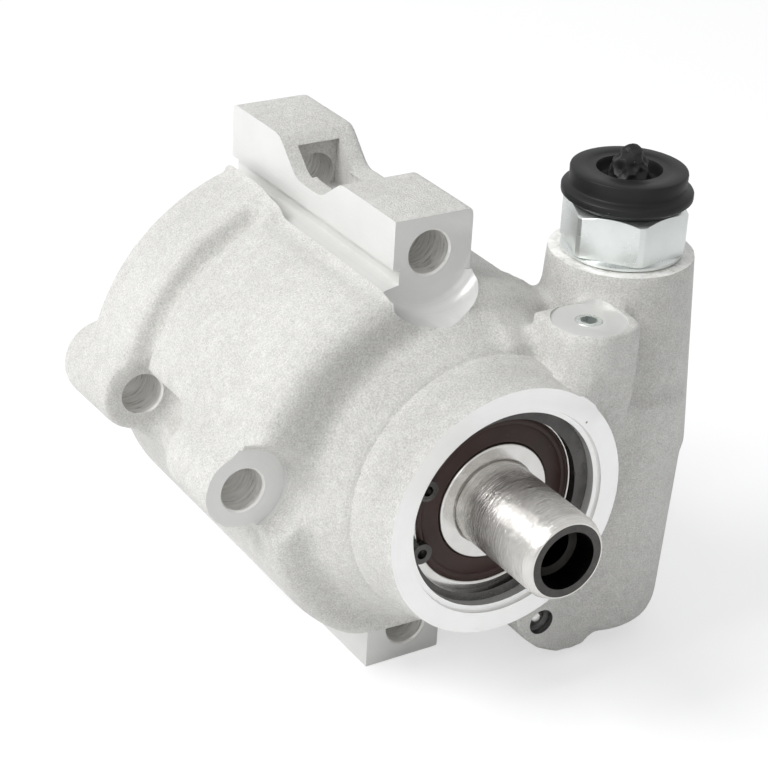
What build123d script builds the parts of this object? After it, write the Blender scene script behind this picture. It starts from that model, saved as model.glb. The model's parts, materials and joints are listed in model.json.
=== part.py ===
"""Vane power steering pump with a cast aluminium housing, three pairs of bolt lugs,
an upright flow valve and an outlet union closed with a rubber shipping plug.

Frame: millimetres, +Z up. The origin is on the shaft axis, in the plane of the machined
front face of the nose. The shaft points to -Y, the pump's end cover is at +Y and the
upright valve barrel is on the +X side.
"""
import os
from math import cos, sin, tan, hypot, radians, pi, sqrt

from build123d import *

os.makedirs("parts", exist_ok=True)

# Nose and main casting
FACE_RADIUS = 25.1            # machined front face, outer edge
NOSE_STEP_DEPTHS = (5.5, 11.3)  # depth of the two fine steps on the nose
NOSE_DRAFT = 0.9              # growth of the nose radius over one step
NOSE_STEP = 0.5               # height of a fine step
NOSE_BASE_RADIUS = 31.4
NOSE_BASE_DEPTH = 17.0
SHOULDER_DEPTH = 19.2         # front of the main body
SHOULDER_ROUND = 3.2
RELIEF_FACE = 24.4            # cast face set back around the front bolt faces
CORE_RADIUS = 37.9            # plain round body, a little off the shaft axis
CORE_CENTRE = (-1.2, -1.0)    # x, z
BODY_END = 86.0               # rear face of the body
SHELL_RADIUS = 41.3           # thicker shell over the top and left, off centre
SHELL_CENTRE = (-4.0, -1.0)   # x, z
SHELL_FLOOR = 7.6             # the shell ends at this height
SHELL_SIDE = 2.0              # and at this x, under the top bar
SHELL_END = 62.8
GROOVE_DEPTH = 3.3
GROOVE_WIDTH = 4.4
FLANGE_RADIUS = 42.9
FLANGE_END = 84.0

# Bolt lugs
BOLT_HOLE_RADIUS = 4.3
BOLT_HOLE_CHAMFER = 0.35
MOUNT_FACE = 25.0             # y of the three front bolt faces
REAR_LUG_FACE = 67.4          # y of the fronts of the three rear lugs
REAR_LUG_END = 87.5
TOP_BOLT = (-4.4, 43.2)       # x, z
LEFT_BOLT = (-42.1, 2.6)
FOOT_BOLT = (-4.4, -38.0)
TOP_BAR_SIDE = -12.1          # x of the machined side face
TOP_BAR_RIGHT = 5.0
TOP_LUG_HEIGHT = 50.6
TOP_LUG_END = 44.7
TOP_REAR_LUG_HEIGHT = 52.2
TOP_NOTCH_HEIGHT = 45.4
NOTCH_START = 51.8
NOTCH_END = 61.2
LEDGE_HEIGHT = 37.5
LEDGE_GROOVE_HEIGHT = 3.2
LEDGE_GROOVE_DEPTH = 1.4
LEDGE_CORNER = -14.8
TOP_SPOT_RADIUS = 12.8
TOP_SPOT_CENTRE = (-5.4, 43.7)
TOP_SPOT_FACE = 24.2
POCKET_WIDTH = 9.4
POCKET_HEIGHT = 9.6
POCKET_DEPTH = 67.5
LEFT_BOSS_RADIUS = 7.7
LEFT_BOSS_END = 44.2
SPOT_RADIUS = 8.7
SCOOP_RADIUS = 12.0           # cast hollow around the front left boss
REAR_BOSS_RADIUS = 8.2
REST_HEIGHT = -45.5           # everything stands on this plane
FOOT_SIDE = -13.2
FOOT_RIGHT = 3.6
FOOT_END = 46.8
FOOT_NOTCH_HEIGHT = -41.2

# Upright valve barrel
VALVE_AXIS = (36.6, 20.5)     # x, y
VALVE_TOP = 38.3
VALVE_TOP_RADIUS = 14.1
VALVE_WAIST = -1.5            # height of the mould's parting line
VALVE_WAIST_RADIUS = 16.5
VALVE_FOOT = -42.4
VALVE_FOOT_RADIUS = 14.4
VALVE_BORE_RADIUS = 8.0
VALVE_BORE_FLOOR = -37.5
PORT_THREAD_RADIUS = 9.95
PORT_THREAD_FLOOR = 26.5
PLUG_BOSS_AXIS = (19.4, 6.4)  # x, y
PLUG_BOSS_RADIUS = 7.6
PLUG_BOSS_TOP = 33.0
PASSAGE_RADIUS = 1.9
UPPER_PLUG_RADIUS = 2.6
UPPER_PLUG_LENGTH = 6.0
PLUG_BOSS_SIDE = 28.0         # x of the boss's straight right side
WEB_FRONT = 4.6
PAD_TOP = 12.8
PAD_THICKNESS = 0.8
LOBE_SIDES = (11.4, 32.8)     # x
LOBE_FLOOR = -44.7
LOBE_FACE = 10.0
LOBE_HOLE = (18.1, -35.4)
LOBE_HOLE_RADIUS = 2.0
LOBE_COUNTERBORE = (2.75, 1.8)  # radius, depth
LOBE_LEFT_ROUND = 15.0
LOBE_RIGHT_ROUND = 5.5
LOBE_HOLE_DEPTH = 11.0
INLET_CENTRE = (60.0, -12.5)  # y, z
INLET_BOSS_RADIUS = 10.0
INLET_RADIUS = 7.2
INLET_FACE = 45.5

# Shaft, bearing and seals
SHAFT_RADIUS = 8.5
SHAFT_TIP = -18.9
TIP_RADIUS = 7.8
TIP_LENGTH = 1.9
RELIEF_WIDTH = 0.8            # grinding relief in front of the bearing
SHAFT_BORE_RADIUS = 4.25
SHAFT_BORE_MOUTH = 5.9
SHAFT_BORE_DEPTH = 24.0
BEARING_RADIUS = 20.0
BEARING_WIDTH = 12.0
BEARING_FACE = 4.6
BEARING_BALLS = 8
BALL_RADIUS = 3.37
INNER_RING_RADIUS = 11.85
OUTER_RING_INNER = 17.0
CIRCLIP_THICKNESS = 1.75
CIRCLIP_RIM = 20.9
CIRCLIP_BAND = 3.4
BORE_CHAMFER = 0.9
SEAL_BORE_RADIUS = 14.0
SEAL_WIDTH = 6.0
SEAL_JOURNAL_RADIUS = 8.0
BUSH_JOURNAL_RADIUS = 7.5
BUSH_WALL = 1.6
BUSH_START = 28.0
RUNNING_GAP = 0.04            # radial gap of every running fit
SLIP_GAP = 0.03               # gap of parts that sit in a bore without turning

# Vane pump
CAVITY_RADIUS = 30.5
CAVITY_FLOOR = 45.0
THRUST_PLATE = 5.0
ROTOR_WIDTH = 18.0
PRESSURE_PLATE = 6.0
PLATE_SPRING = 3.4
END_COVER = 4.6
COVER_LIP = 1.2               # end cover in front of its seal groove
COVER_RING = 1.6
COVER_RING_RIM = CAVITY_RADIUS + 1.2
CAM_RADIUS = CAVITY_RADIUS - 1.9
CAM_MAJOR = CAM_RADIUS - 4.3
CAM_MINOR = CAM_MAJOR - 1.9
ROTOR_RADIUS = CAM_MINOR - 0.4
VANES = 10
VANE_THICKNESS = 1.6
VANE_LENGTH = 7.4
SLOT_DEPTH = 9.2
SPLINE_TEETH = 12
SPLINE_ROOT = 6.2
SPLINE_TIP = 7.1
DOWEL_RADIUS = 2.0
DOWEL_CIRCLE = CAM_RADIUS - 2.3
O_RING_DEPTH = 1.5            # how far a rubber ring reaches into its groove
O_RING_WIDTH = 1.8
O_RING_GROOVE = 2.0           # groove width

# Flow valve and union
SPOOL_LENGTH = 32.0
SPOOL_REST_GAP = 0.1
SPRING_WIRE = 0.8
SPRING_RADIUS = 4.9
SPRING_TURNS = 9
SPOOL_POCKET = 5.9
RELIEF_BORE = 3.4
RELIEF_BALL = 2.3
RELIEF_SEAT_HOLE = 1.2
RELIEF_SEAT_LENGTH = 5.0
RELIEF_FLOOR = 13.0           # depth of the relief bore below the spool's top
HEX_FLATS = 21.6
HEX_HEIGHT = 8.8
HEX_TURN = 9.0                # degrees
UNION_COLLAR = 1.2
UNION_GROOVE_DROP = 1.4       # seal groove below the valve top
UNION_STEM_GAP = 0.05
UNION_MOUTH = 8.4
UNION_MOUTH_DEPTH = 13.0
UNION_ORIFICE = 2.6
PLUG_TOP_RADIUS = 11.25
PLUG_FLANGE_RADIUS = 12.6
PLUG_TOP = 55.0
PLUG_DISH_RADIUS = 6.2
PLUG_DISH_FLOOR = 5.0
PLUG_DISH_DEPTH = 2.6
PLUG_SHANK = 9.0              # depth in the union
PLUG_HOLLOW = 5.95
NUB_RADIUS = 3.3              # torn moulding nub in the dish
NUB_TOP = 59.3
PLUG_GAP = 0.05


def rounded_face(points):
    """Closed face through (u, v) or (u, v, r) points; r rounds that corner."""
    count = len(points)
    edges = []
    starts = []
    for index, point in enumerate(points):
        u, v = point[0], point[1]
        radius = point[2] if len(point) > 2 else 0.0
        if radius == 0.0:
            starts.append(((u, v), (u, v), None))
            continue
        before = points[index - 1]
        after = points[(index + 1) % count]
        back = Vector(before[0] - u, before[1] - v).normalized()
        ahead = Vector(after[0] - u, after[1] - v).normalized()
        half = radians(back.get_angle(ahead)) / 2
        reach = radius / tan(half)
        middle = (back + ahead).normalized() * (radius / sin(half) - radius)
        first = (u + back.X * reach, v + back.Y * reach)
        last = (u + ahead.X * reach, v + ahead.Y * reach)
        starts.append((first, last, (u + middle.X, v + middle.Y)))
    for index, (first, last, top) in enumerate(starts):
        if top is not None:
            edges.append(ThreePointArc(first, top, last))
        following = starts[(index + 1) % count][0]
        if hypot(following[0] - last[0], following[1] - last[1]) > 1e-6:
            edges.append(Line(last, following))
    return make_face(edges)


def turned(points, x=0.0, z=0.0):
    """Solid turned about the line along Y through x, z, from (radius, y) points."""
    return Pos(x, 0, z) * revolve(rounded_face(points), Axis.Y)


def turned_upright(points, x=0.0, y=0.0):
    """Solid turned about the upright line through x, y, from (radius, z) points."""
    face = Plane.XZ * rounded_face(points)
    return Pos(x, y, 0) * revolve(face, Axis.Z)


def along_shaft(points, start, end):
    """Solid with an (x, z) outline, from y = start to y = end."""
    plane = Plane(origin=(0, end, 0), x_dir=(1, 0, 0), z_dir=(0, -1, 0))
    return extrude(plane * rounded_face(points), end - start)


def across(points, start, end):
    """Solid with a (y, z) outline, from x = start to x = end."""
    plane = Plane(origin=(start, 0, 0), x_dir=(0, 1, 0), z_dir=(1, 0, 0))
    return extrude(plane * rounded_face(points), end - start)


def rod(centre, radius, start, end):
    """Round bar along Y about the line through centre = (x, z)."""
    plane = Plane(origin=(centre[0], end, centre[1]), x_dir=(1, 0, 0), z_dir=(0, -1, 0))
    return extrude(plane * Circle(radius), end - start)


def post(centre, radius, bottom, top):
    """Upright round bar about the line through centre = (x, y)."""
    return Pos(centre[0], centre[1], bottom) * extrude(Circle(radius), top - bottom)


def sideways(centre, radius, start, end):
    """Round bar along X about the line through centre = (y, z)."""
    plane = Plane(origin=(start, centre[0], centre[1]), x_dir=(0, 1, 0), z_dir=(1, 0, 0))
    return extrude(plane * Circle(radius), end - start)


def block(x0, x1, y0, y1, z0, z1):
    """Box between two corners."""
    centre = ((x0 + x1) / 2, (y0 + y1) / 2, (z0 + z1) / 2)
    return Pos(*centre) * Box(x1 - x0, y1 - y0, z1 - z0)


def ring(outer, inner, start, end, edge=0.0):
    """Flat ring about the shaft with lightly rounded outer and inner corners."""
    return turned([(inner, start, edge), (outer, start, edge),
                   (outer, end, edge), (inner, end, edge)])


def bolt_hole(centre, start, end):
    """Cutter for a clearance hole along Y with a chamfer at both ends."""
    wide = BOLT_HOLE_RADIUS + BOLT_HOLE_CHAMFER
    margin = 0.01
    points = [(0, start - margin), (wide + margin, start - margin),
              (BOLT_HOLE_RADIUS, start + BOLT_HOLE_CHAMFER),
              (BOLT_HOLE_RADIUS, end - BOLT_HOLE_CHAMFER),
              (wide + margin, end + margin), (0, end + margin)]
    return turned(points, centre[0], centre[1])


# Positions that follow from the sizes above
BEARING_END = BEARING_FACE + BEARING_WIDTH
SEAL_END = BEARING_END + 1.2 + SEAL_WIDTH
THRUST_END = CAVITY_FLOOR + THRUST_PLATE
BALL_CIRCLE = (INNER_RING_RADIUS + OUTER_RING_INNER) / 2
BALL_DEPTH = (BEARING_FACE + BEARING_END) / 2
ROTOR_END = THRUST_END + ROTOR_WIDTH
PLATE_END = ROTOR_END + PRESSURE_PLATE
SPRING_END = PLATE_END + PLATE_SPRING
COVER_END = SPRING_END + END_COVER
RING_END = COVER_END + COVER_RING
STEM_END = PORT_THREAD_FLOOR + 1.0
SPOOL_TOP = STEM_END - SPOOL_REST_GAP
SPOOL_BOTTOM = SPOOL_TOP - SPOOL_LENGTH
HEX_BOTTOM = VALVE_TOP + UNION_COLLAR
HEX_TOP = HEX_BOTTOM + HEX_HEIGHT
RELIEF_SEAT_END = SPOOL_TOP - RELIEF_SEAT_LENGTH
RELIEF_BORE_END = SPOOL_TOP - RELIEF_FLOOR


def nose():
    """Front of the casting: a drafted nose with two fine steps and a flared base."""
    first, second = NOSE_STEP_DEPTHS
    radius_1 = FACE_RADIUS + NOSE_DRAFT
    radius_2 = radius_1 + NOSE_STEP + NOSE_DRAFT
    return turned([(0, 0), (FACE_RADIUS, 0, 0.25), (radius_1, first - NOSE_STEP),
                   (radius_1 + NOSE_STEP, first), (radius_2, second - NOSE_STEP),
                   (radius_2 + NOSE_STEP, second), (NOSE_BASE_RADIUS, NOSE_BASE_DEPTH, 0.9),
                   (NOSE_BASE_RADIUS + 0.9, SHOULDER_DEPTH + 1), (0, SHOULDER_DEPTH + 1)])


def core_body():
    """Plain round body behind the shoulder."""
    return turned([(0, SHOULDER_DEPTH), (CORE_RADIUS, SHOULDER_DEPTH, SHOULDER_ROUND),
                   (CORE_RADIUS, BODY_END, 0.8), (0, BODY_END)], CORE_CENTRE[0], CORE_CENTRE[1])


def shell():
    """Thicker shell over the top and left with a deep rounded groove and a rear flange."""
    floor = SHELL_RADIUS - GROOVE_DEPTH
    groove_end = SHELL_END + GROOVE_WIDTH
    body = turned([(0, SHOULDER_DEPTH), (SHELL_RADIUS - 0.3, SHOULDER_DEPTH, SHOULDER_ROUND),
                   (SHELL_RADIUS, SHELL_END, 1.2), (floor, SHELL_END + 1.2, 1.0),
                   (floor, groove_end - 0.6, 1.4), (FLANGE_RADIUS, groove_end, 1.6),
                   (FLANGE_RADIUS, FLANGE_END, 1.2), (0, FLANGE_END)],
                  SHELL_CENTRE[0], SHELL_CENTRE[1])
    reach = 2 * FLANGE_RADIUS
    return body & block(-reach, SHELL_SIDE, 0, BODY_END, SHELL_FLOOR, reach)


def top_bar():
    """Bar along the top left with a front lug, a low notch and a rear lug."""
    width = [(TOP_BAR_SIDE, TOP_LUG_HEIGHT + 10), (TOP_BAR_SIDE, 0),
             (TOP_BAR_RIGHT + 0.4, 0), (TOP_BAR_RIGHT, TOP_LUG_HEIGHT + 10)]
    side = [(MOUNT_FACE, 25), (MOUNT_FACE, TOP_LUG_HEIGHT, 1.0),
            (TOP_LUG_END, TOP_LUG_HEIGHT, 1.6), (NOTCH_START, TOP_NOTCH_HEIGHT, 1.0),
            (NOTCH_END, TOP_NOTCH_HEIGHT, 1.2), (REAR_LUG_FACE + 1.2, TOP_REAR_LUG_HEIGHT, 2.2),
            (REAR_LUG_END, TOP_REAR_LUG_HEIGHT, 0.8), (REAR_LUG_END, 25)]
    front_lug = [(TOP_BAR_SIDE - 1, 25), (TOP_BAR_SIDE - 1, TOP_LUG_HEIGHT),
                 (TOP_BAR_RIGHT, TOP_LUG_HEIGHT, 2.6), (TOP_BAR_RIGHT + 0.2, 25)]
    rear_lug = [(TOP_BAR_SIDE - 1, 25), (TOP_BAR_SIDE - 1, TOP_REAR_LUG_HEIGHT),
                (TOP_BAR_RIGHT, TOP_REAR_LUG_HEIGHT, 2.6), (TOP_BAR_RIGHT + 0.2, 25)]
    bar = along_shaft(width, MOUNT_FACE - 1, REAR_LUG_END) & across(side, TOP_BAR_SIDE - 1, 10)
    middle = (NOTCH_START + NOTCH_END) / 2
    rounded = along_shaft(front_lug, MOUNT_FACE - 1, middle)
    rounded += along_shaft(rear_lug, middle, REAR_LUG_END + 1)
    base = block(LEDGE_CORNER, TOP_BAR_RIGHT, MOUNT_FACE - 3, REAR_LUG_END, 25, LEDGE_HEIGHT + 1)
    return (bar & rounded) + base


def foot_bar():
    """Bar under the body that carries the front foot and the rear foot."""
    side = [(MOUNT_FACE, -25), (MOUNT_FACE, REST_HEIGHT, 0.5), (FOOT_END, REST_HEIGHT, 1.0),
            (NOTCH_START + 1, FOOT_NOTCH_HEIGHT, 1.0), (NOTCH_END, FOOT_NOTCH_HEIGHT, 1.0),
            (REAR_LUG_FACE, REST_HEIGHT, 1.2), (REAR_LUG_END, REST_HEIGHT, 0.8),
            (REAR_LUG_END, -25)]
    width = [(FOOT_SIDE, -22), (FOOT_RIGHT + 1, -22), (FOOT_RIGHT, REST_HEIGHT, 3.2),
             (FOOT_SIDE, REST_HEIGHT, 0.4)]
    return across(side, FOOT_SIDE, FOOT_RIGHT + 1) & along_shaft(width, MOUNT_FACE, REAR_LUG_END)


def left_bosses():
    """The two coaxial bosses on the left and the web behind the rear one."""
    front = turned([(0, MOUNT_FACE), (LEFT_BOSS_RADIUS, MOUNT_FACE, 0.3),
                    (LEFT_BOSS_RADIUS + 0.5, LEFT_BOSS_END, 3.0), (0, LEFT_BOSS_END)],
                   LEFT_BOLT[0], LEFT_BOLT[1])
    rear = turned([(0, REAR_LUG_FACE), (REAR_BOSS_RADIUS, REAR_LUG_FACE, 0.8),
                   (REAR_BOSS_RADIUS + 0.4, REAR_LUG_END + 1, 3.4), (0, REAR_LUG_END + 1)],
                  LEFT_BOLT[0], LEFT_BOLT[1])
    x, z = LEFT_BOLT
    web = [(x + 2, z + 5), (x - 2, z - REAR_BOSS_RADIUS + 0.8), (-12, -CORE_RADIUS + 2), (0, 0)]
    front_web = [(x + 3, z + 5), (x + 2, z - LEFT_BOSS_RADIUS + 0.4), (-24, -26), (0, 0)]
    return (front + rear + along_shaft(web, REAR_LUG_FACE + 0.6, FLANGE_END)
            + along_shaft(front_web, MOUNT_FACE + 2, LEFT_BOSS_END - 2))


def valve_barrel():
    """Tapered upright barrel for the flow valve with a rounded foot."""
    return turned_upright([(0, VALVE_FOOT), (VALVE_FOOT_RADIUS, VALVE_FOOT, 5.0),
                           (VALVE_WAIST_RADIUS - 0.5, VALVE_WAIST - 0.1),
                           (VALVE_WAIST_RADIUS, VALVE_WAIST), (VALVE_TOP_RADIUS, VALVE_TOP, 0.4),
                           (0, VALVE_TOP)],
                          VALVE_AXIS[0], VALVE_AXIS[1])


def plug_boss():
    """Flat-topped boss in front of the barrel, with a front face that slopes back downwards."""
    x, y = PLUG_BOSS_AXIS
    left = x - PLUG_BOSS_RADIUS
    front = y - PLUG_BOSS_RADIUS
    back = y + PLUG_BOSS_RADIUS
    outline = [(left, back, PLUG_BOSS_RADIUS - 0.3), (left, front, PLUG_BOSS_RADIUS - 0.3),
               (PLUG_BOSS_SIDE, front + 0.8, 2.4), (PLUG_BOSS_SIDE + 1.2, VALVE_AXIS[1]),
               (x + 6, VALVE_AXIS[1]), (x + 3.5, back, 2.0)]
    height = PLUG_BOSS_TOP - VALVE_WAIST
    boss = Pos(0, 0, VALVE_WAIST) * extrude(rounded_face(outline), height)
    boss = fillet(boss.edges().filter_by_position(Axis.Z, PLUG_BOSS_TOP - 0.1, PLUG_BOSS_TOP + 0.1), 1.2)
    slope = [(front - 1, PLUG_BOSS_TOP + 1), (front - 0.1, PLUG_BOSS_TOP - 6), (front + 1.9, 18),
             (WEB_FRONT, 6), (WEB_FRONT + 0.4, VALVE_WAIST), (VALVE_AXIS[1], VALVE_WAIST),
             (VALVE_AXIS[1], PLUG_BOSS_TOP + 1)]
    web = along_shaft([(x, VALVE_WAIST), (VALVE_AXIS[0] - 1, VALVE_WAIST),
                       (VALVE_AXIS[0] - 1, PAD_TOP, 2.0), (x, PAD_TOP + 2)],
                      WEB_FRONT, VALVE_AXIS[1])
    return (boss & across(slope, left - 1, VALVE_AXIS[0])) + web


def side_pad():
    """Thin raised pad on the front of the barrel, above the parting line."""
    x, y = VALVE_AXIS
    skin = post(VALVE_AXIS, VALVE_WAIST_RADIUS + PAD_THICKNESS, VALVE_WAIST, PAD_TOP)
    face = [(x - 4, VALVE_WAIST), (x + 7.5, VALVE_WAIST, 2.0), (x + 7.0, PAD_TOP, 3.0), (x - 4, PAD_TOP)]
    return skin & along_shaft(face, 0, y)


def lobe():
    """Rounded lobe at the lower right that runs up into the nose and the barrel."""
    left, right = LOBE_SIDES
    end = VALVE_AXIS[1] + 6
    outline = [(left, -14), (left, LOBE_FLOOR, LOBE_LEFT_ROUND),
               (right + 0.2, LOBE_FLOOR, LOBE_RIGHT_ROUND),
               (right - 0.4, VALVE_WAIST - 0.5), (left + 6, VALVE_WAIST - 0.5)]
    body = along_shaft(outline, LOBE_FACE, end)
    return fillet(body.edges().filter_by_position(Axis.Y, LOBE_FACE - 0.1, LOBE_FACE + 0.1), 1.2)


def inlet_boss():
    """Boss for the return line on the hidden lower right side."""
    y, z = INLET_CENTRE
    return sideways((y, z), INLET_BOSS_RADIUS, 20, INLET_FACE)


def fairing():
    """Sloped surface between the nose and the body, right of the top lug."""
    profile = [(26, SHOULDER_DEPTH - 9), (29.5, SHOULDER_DEPTH - 8, 1.0),
               (CORE_RADIUS + 0.3, SHOULDER_DEPTH + 12), (26, SHOULDER_DEPTH + 12)]
    piece = revolve(rounded_face(profile), Axis.Y, 60)
    return piece.rotate(Axis.Y, -80)


def pump_housing():
    """The single casting with its machined faces, bores and passages."""
    body = nose() + core_body() + shell() + top_bar() + foot_bar() + left_bosses()
    body += valve_barrel() + plug_boss() + side_pad() + lobe() + inlet_boss() + fairing()

    # machined side face, groove and ledge of the top bar
    far = -FLANGE_RADIUS
    groove_top = LEDGE_HEIGHT + LEDGE_GROOVE_HEIGHT + 0.3
    side_cut = [(TOP_BAR_SIDE, TOP_REAR_LUG_HEIGHT + 5), (TOP_BAR_SIDE, groove_top),
                (TOP_BAR_SIDE + LEDGE_GROOVE_DEPTH, groove_top - 0.3),
                (TOP_BAR_SIDE + LEDGE_GROOVE_DEPTH, LEDGE_HEIGHT + 0.3),
                (TOP_BAR_SIDE - 0.2, LEDGE_HEIGHT), (LEDGE_CORNER, LEDGE_HEIGHT - 0.6),
                (LEDGE_CORNER, TOP_REAR_LUG_HEIGHT + 5)]
    body -= along_shaft(side_cut, SHOULDER_DEPTH - 2, REAR_LUG_END + 2)
    strip = [(LEDGE_CORNER + 0.1, TOP_REAR_LUG_HEIGHT), (LEDGE_CORNER + 0.1, LEDGE_HEIGHT - 0.6),
             (far, LEDGE_HEIGHT - 1.6), (far, TOP_REAR_LUG_HEIGHT)]
    body -= along_shaft(strip, SHOULDER_DEPTH - 2, SHELL_END)
    body -= block(far, FOOT_SIDE, MOUNT_FACE, REAR_LUG_END + 2, REST_HEIGHT - 1,
                  REST_HEIGHT + 12)

    # spot faces in front of the bolt holes
    spot_start = NOSE_STEP_DEPTHS[1]
    body -= rod(TOP_SPOT_CENTRE, TOP_SPOT_RADIUS, spot_start, TOP_SPOT_FACE) & block(
        LEDGE_CORNER, TOP_BAR_RIGHT + 0.4, 0, TOP_SPOT_FACE, 0, TOP_LUG_HEIGHT + 10)
    body -= turned([(0, spot_start), (SCOOP_RADIUS, spot_start), (SCOOP_RADIUS, NOSE_BASE_DEPTH),
                    (SPOT_RADIUS + 0.8, MOUNT_FACE - 0.6, 1.5), (0, MOUNT_FACE - 0.6)],
                   LEFT_BOLT[0], LEFT_BOLT[1])
    body -= rod(LEFT_BOLT, SPOT_RADIUS, spot_start, MOUNT_FACE)
    relief = revolve(rounded_face([(NOSE_BASE_RADIUS - 1.2, 14.5), (60, 14.5), (60, RELIEF_FACE),
                                   (NOSE_BASE_RADIUS + 3.6, RELIEF_FACE, 1.5)]), Axis.Y)
    body -= relief & block(-60, FOOT_SIDE - 1.5, 0, RELIEF_FACE, -36, SHELL_FLOOR)
    body -= turned([(0, spot_start), (TOP_SPOT_RADIUS + 5, spot_start),
                    (TOP_SPOT_RADIUS + 5, NOSE_BASE_DEPTH), (TOP_SPOT_RADIUS + 1, RELIEF_FACE - 1, 1.5),
                    (0, RELIEF_FACE - 1)], TOP_SPOT_CENTRE[0], TOP_SPOT_CENTRE[1]) & block(
        -60, LEDGE_CORNER, 0, RELIEF_FACE, 28, 60)
    body -= rod(FOOT_BOLT, SPOT_RADIUS, spot_start, MOUNT_FACE)

    # cored pocket in the rear top lug
    x, z = TOP_BOLT
    pocket = [(x - POCKET_WIDTH / 2, z - 2.6, 1.0), (x + POCKET_WIDTH / 2, z - 2.6, 1.0),
              (x + POCKET_WIDTH / 2, z - 2.6 + POCKET_HEIGHT, 1.0),
              (x - POCKET_WIDTH / 2, z - 2.6 + POCKET_HEIGHT, 1.0)]
    body -= along_shaft(pocket, NOTCH_END - 0.8, POCKET_DEPTH)

    # bolt holes
    body -= bolt_hole(TOP_BOLT, MOUNT_FACE, NOTCH_START - 2)
    body -= rod(TOP_BOLT, BOLT_HOLE_RADIUS, MOUNT_FACE + 2, REAR_LUG_END + 2)
    body -= bolt_hole(LEFT_BOLT, MOUNT_FACE, LEFT_BOSS_END)
    body -= bolt_hole(LEFT_BOLT, REAR_LUG_FACE, REAR_LUG_END + 1)
    body -= bolt_hole(FOOT_BOLT, MOUNT_FACE, REAR_LUG_END)

    # bearing seat, seal bore, bush bore and pump cavity
    groove_start = BEARING_FACE - CIRCLIP_THICKNESS - 0.1
    bore = [(0, -1), (BEARING_RADIUS + BORE_CHAMFER + 1, -1),
            (BEARING_RADIUS + SLIP_GAP, BORE_CHAMFER),
            (BEARING_RADIUS + SLIP_GAP, groove_start),
            (CIRCLIP_RIM + 0.05, groove_start), (CIRCLIP_RIM + 0.05, BEARING_FACE - 0.02),
            (BEARING_RADIUS + SLIP_GAP, BEARING_FACE - 0.02),
            (BEARING_RADIUS + SLIP_GAP, BEARING_END), (SEAL_BORE_RADIUS + 3, BEARING_END),
            (SEAL_BORE_RADIUS + 3, BEARING_END + 1.2), (SEAL_BORE_RADIUS + SLIP_GAP, BEARING_END + 1.2),
            (SEAL_BORE_RADIUS + SLIP_GAP, SEAL_END), (SEAL_BORE_RADIUS - 2, SEAL_END + 1.5),
            (BUSH_JOURNAL_RADIUS + BUSH_WALL + SLIP_GAP, BUSH_START),
            (BUSH_JOURNAL_RADIUS + BUSH_WALL + SLIP_GAP, CAVITY_FLOOR),
            (CAVITY_RADIUS, CAVITY_FLOOR), (CAVITY_RADIUS, COVER_END),
            (COVER_RING_RIM, COVER_END), (COVER_RING_RIM, RING_END + 0.1),
            (CAVITY_RADIUS, RING_END + 0.1), (CAVITY_RADIUS, BODY_END - 0.8),
            (CAVITY_RADIUS + 0.6, BODY_END), (CAVITY_RADIUS + 0.6, REAR_LUG_END + 2),
            (0, REAR_LUG_END + 2)]
    body -= turned(bore)

    # valve bore, port and drilled passages
    x, y = VALVE_AXIS
    body -= turned_upright([(0, VALVE_BORE_FLOOR), (VALVE_BORE_RADIUS, VALVE_BORE_FLOOR, 0.8),
                            (VALVE_BORE_RADIUS, PORT_THREAD_FLOOR),
                            (PORT_THREAD_RADIUS, PORT_THREAD_FLOOR + 1),
                            (PORT_THREAD_RADIUS, VALVE_TOP - 1),
                            (PORT_THREAD_RADIUS + 1.2, VALVE_TOP + 0.2), (0, VALVE_TOP + 0.2)], x, y)
    body -= rod((CAVITY_RADIUS - 3.4, 5), 3.0, y, CAVITY_FLOOR + 1)
    px, py = PLUG_BOSS_AXIS
    drill_floor = 15.0
    body -= post(PLUG_BOSS_AXIS, PASSAGE_RADIUS, drill_floor, PLUG_BOSS_TOP + 1)
    body -= post(PLUG_BOSS_AXIS, UPPER_PLUG_RADIUS + SLIP_GAP,
                 PLUG_BOSS_TOP - UPPER_PLUG_LENGTH - 0.6, PLUG_BOSS_TOP + 1)
    cross = Plane(origin=(px, py, drill_floor + PASSAGE_RADIUS), z_dir=(x - px, y - py, 0))
    body -= extrude(cross * Circle(PASSAGE_RADIUS - 0.2), hypot(x - px, y - py))
    body -= rod(LOBE_HOLE, LOBE_HOLE_RADIUS, LOBE_FACE - 1, LOBE_FACE + LOBE_HOLE_DEPTH)
    body -= rod(LOBE_HOLE, LOBE_COUNTERBORE[0], LOBE_FACE - 1, LOBE_FACE + LOBE_COUNTERBORE[1])
    iy, iz = INLET_CENTRE
    body -= sideways((iy, iz), INLET_RADIUS, CORE_RADIUS - 1.5, INLET_FACE + 1)
    body -= sideways((iy, iz), INLET_RADIUS - 2, CAVITY_RADIUS - 6, CORE_RADIUS)
    return body


def spline_face(root, tip):
    """Toothed face with straight-sided teeth, for the shaft end and the rotor bore."""
    pitch = 2 * pi / SPLINE_TEETH
    points = []
    for tooth in range(SPLINE_TEETH):
        middle = tooth * pitch
        for radius, turn in ((root, -0.32), (tip, -0.17), (tip, 0.17), (root, 0.32)):
            angle = middle + turn * pitch
            points.append((radius * cos(angle), radius * sin(angle)))
    return rounded_face(points)


def spline_rod(root, tip, start, end):
    """Splined bar along the shaft axis."""
    plane = Plane(origin=(0, end, 0), x_dir=(1, 0, 0), z_dir=(0, -1, 0))
    return extrude(plane * spline_face(root, tip), end - start)


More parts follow.
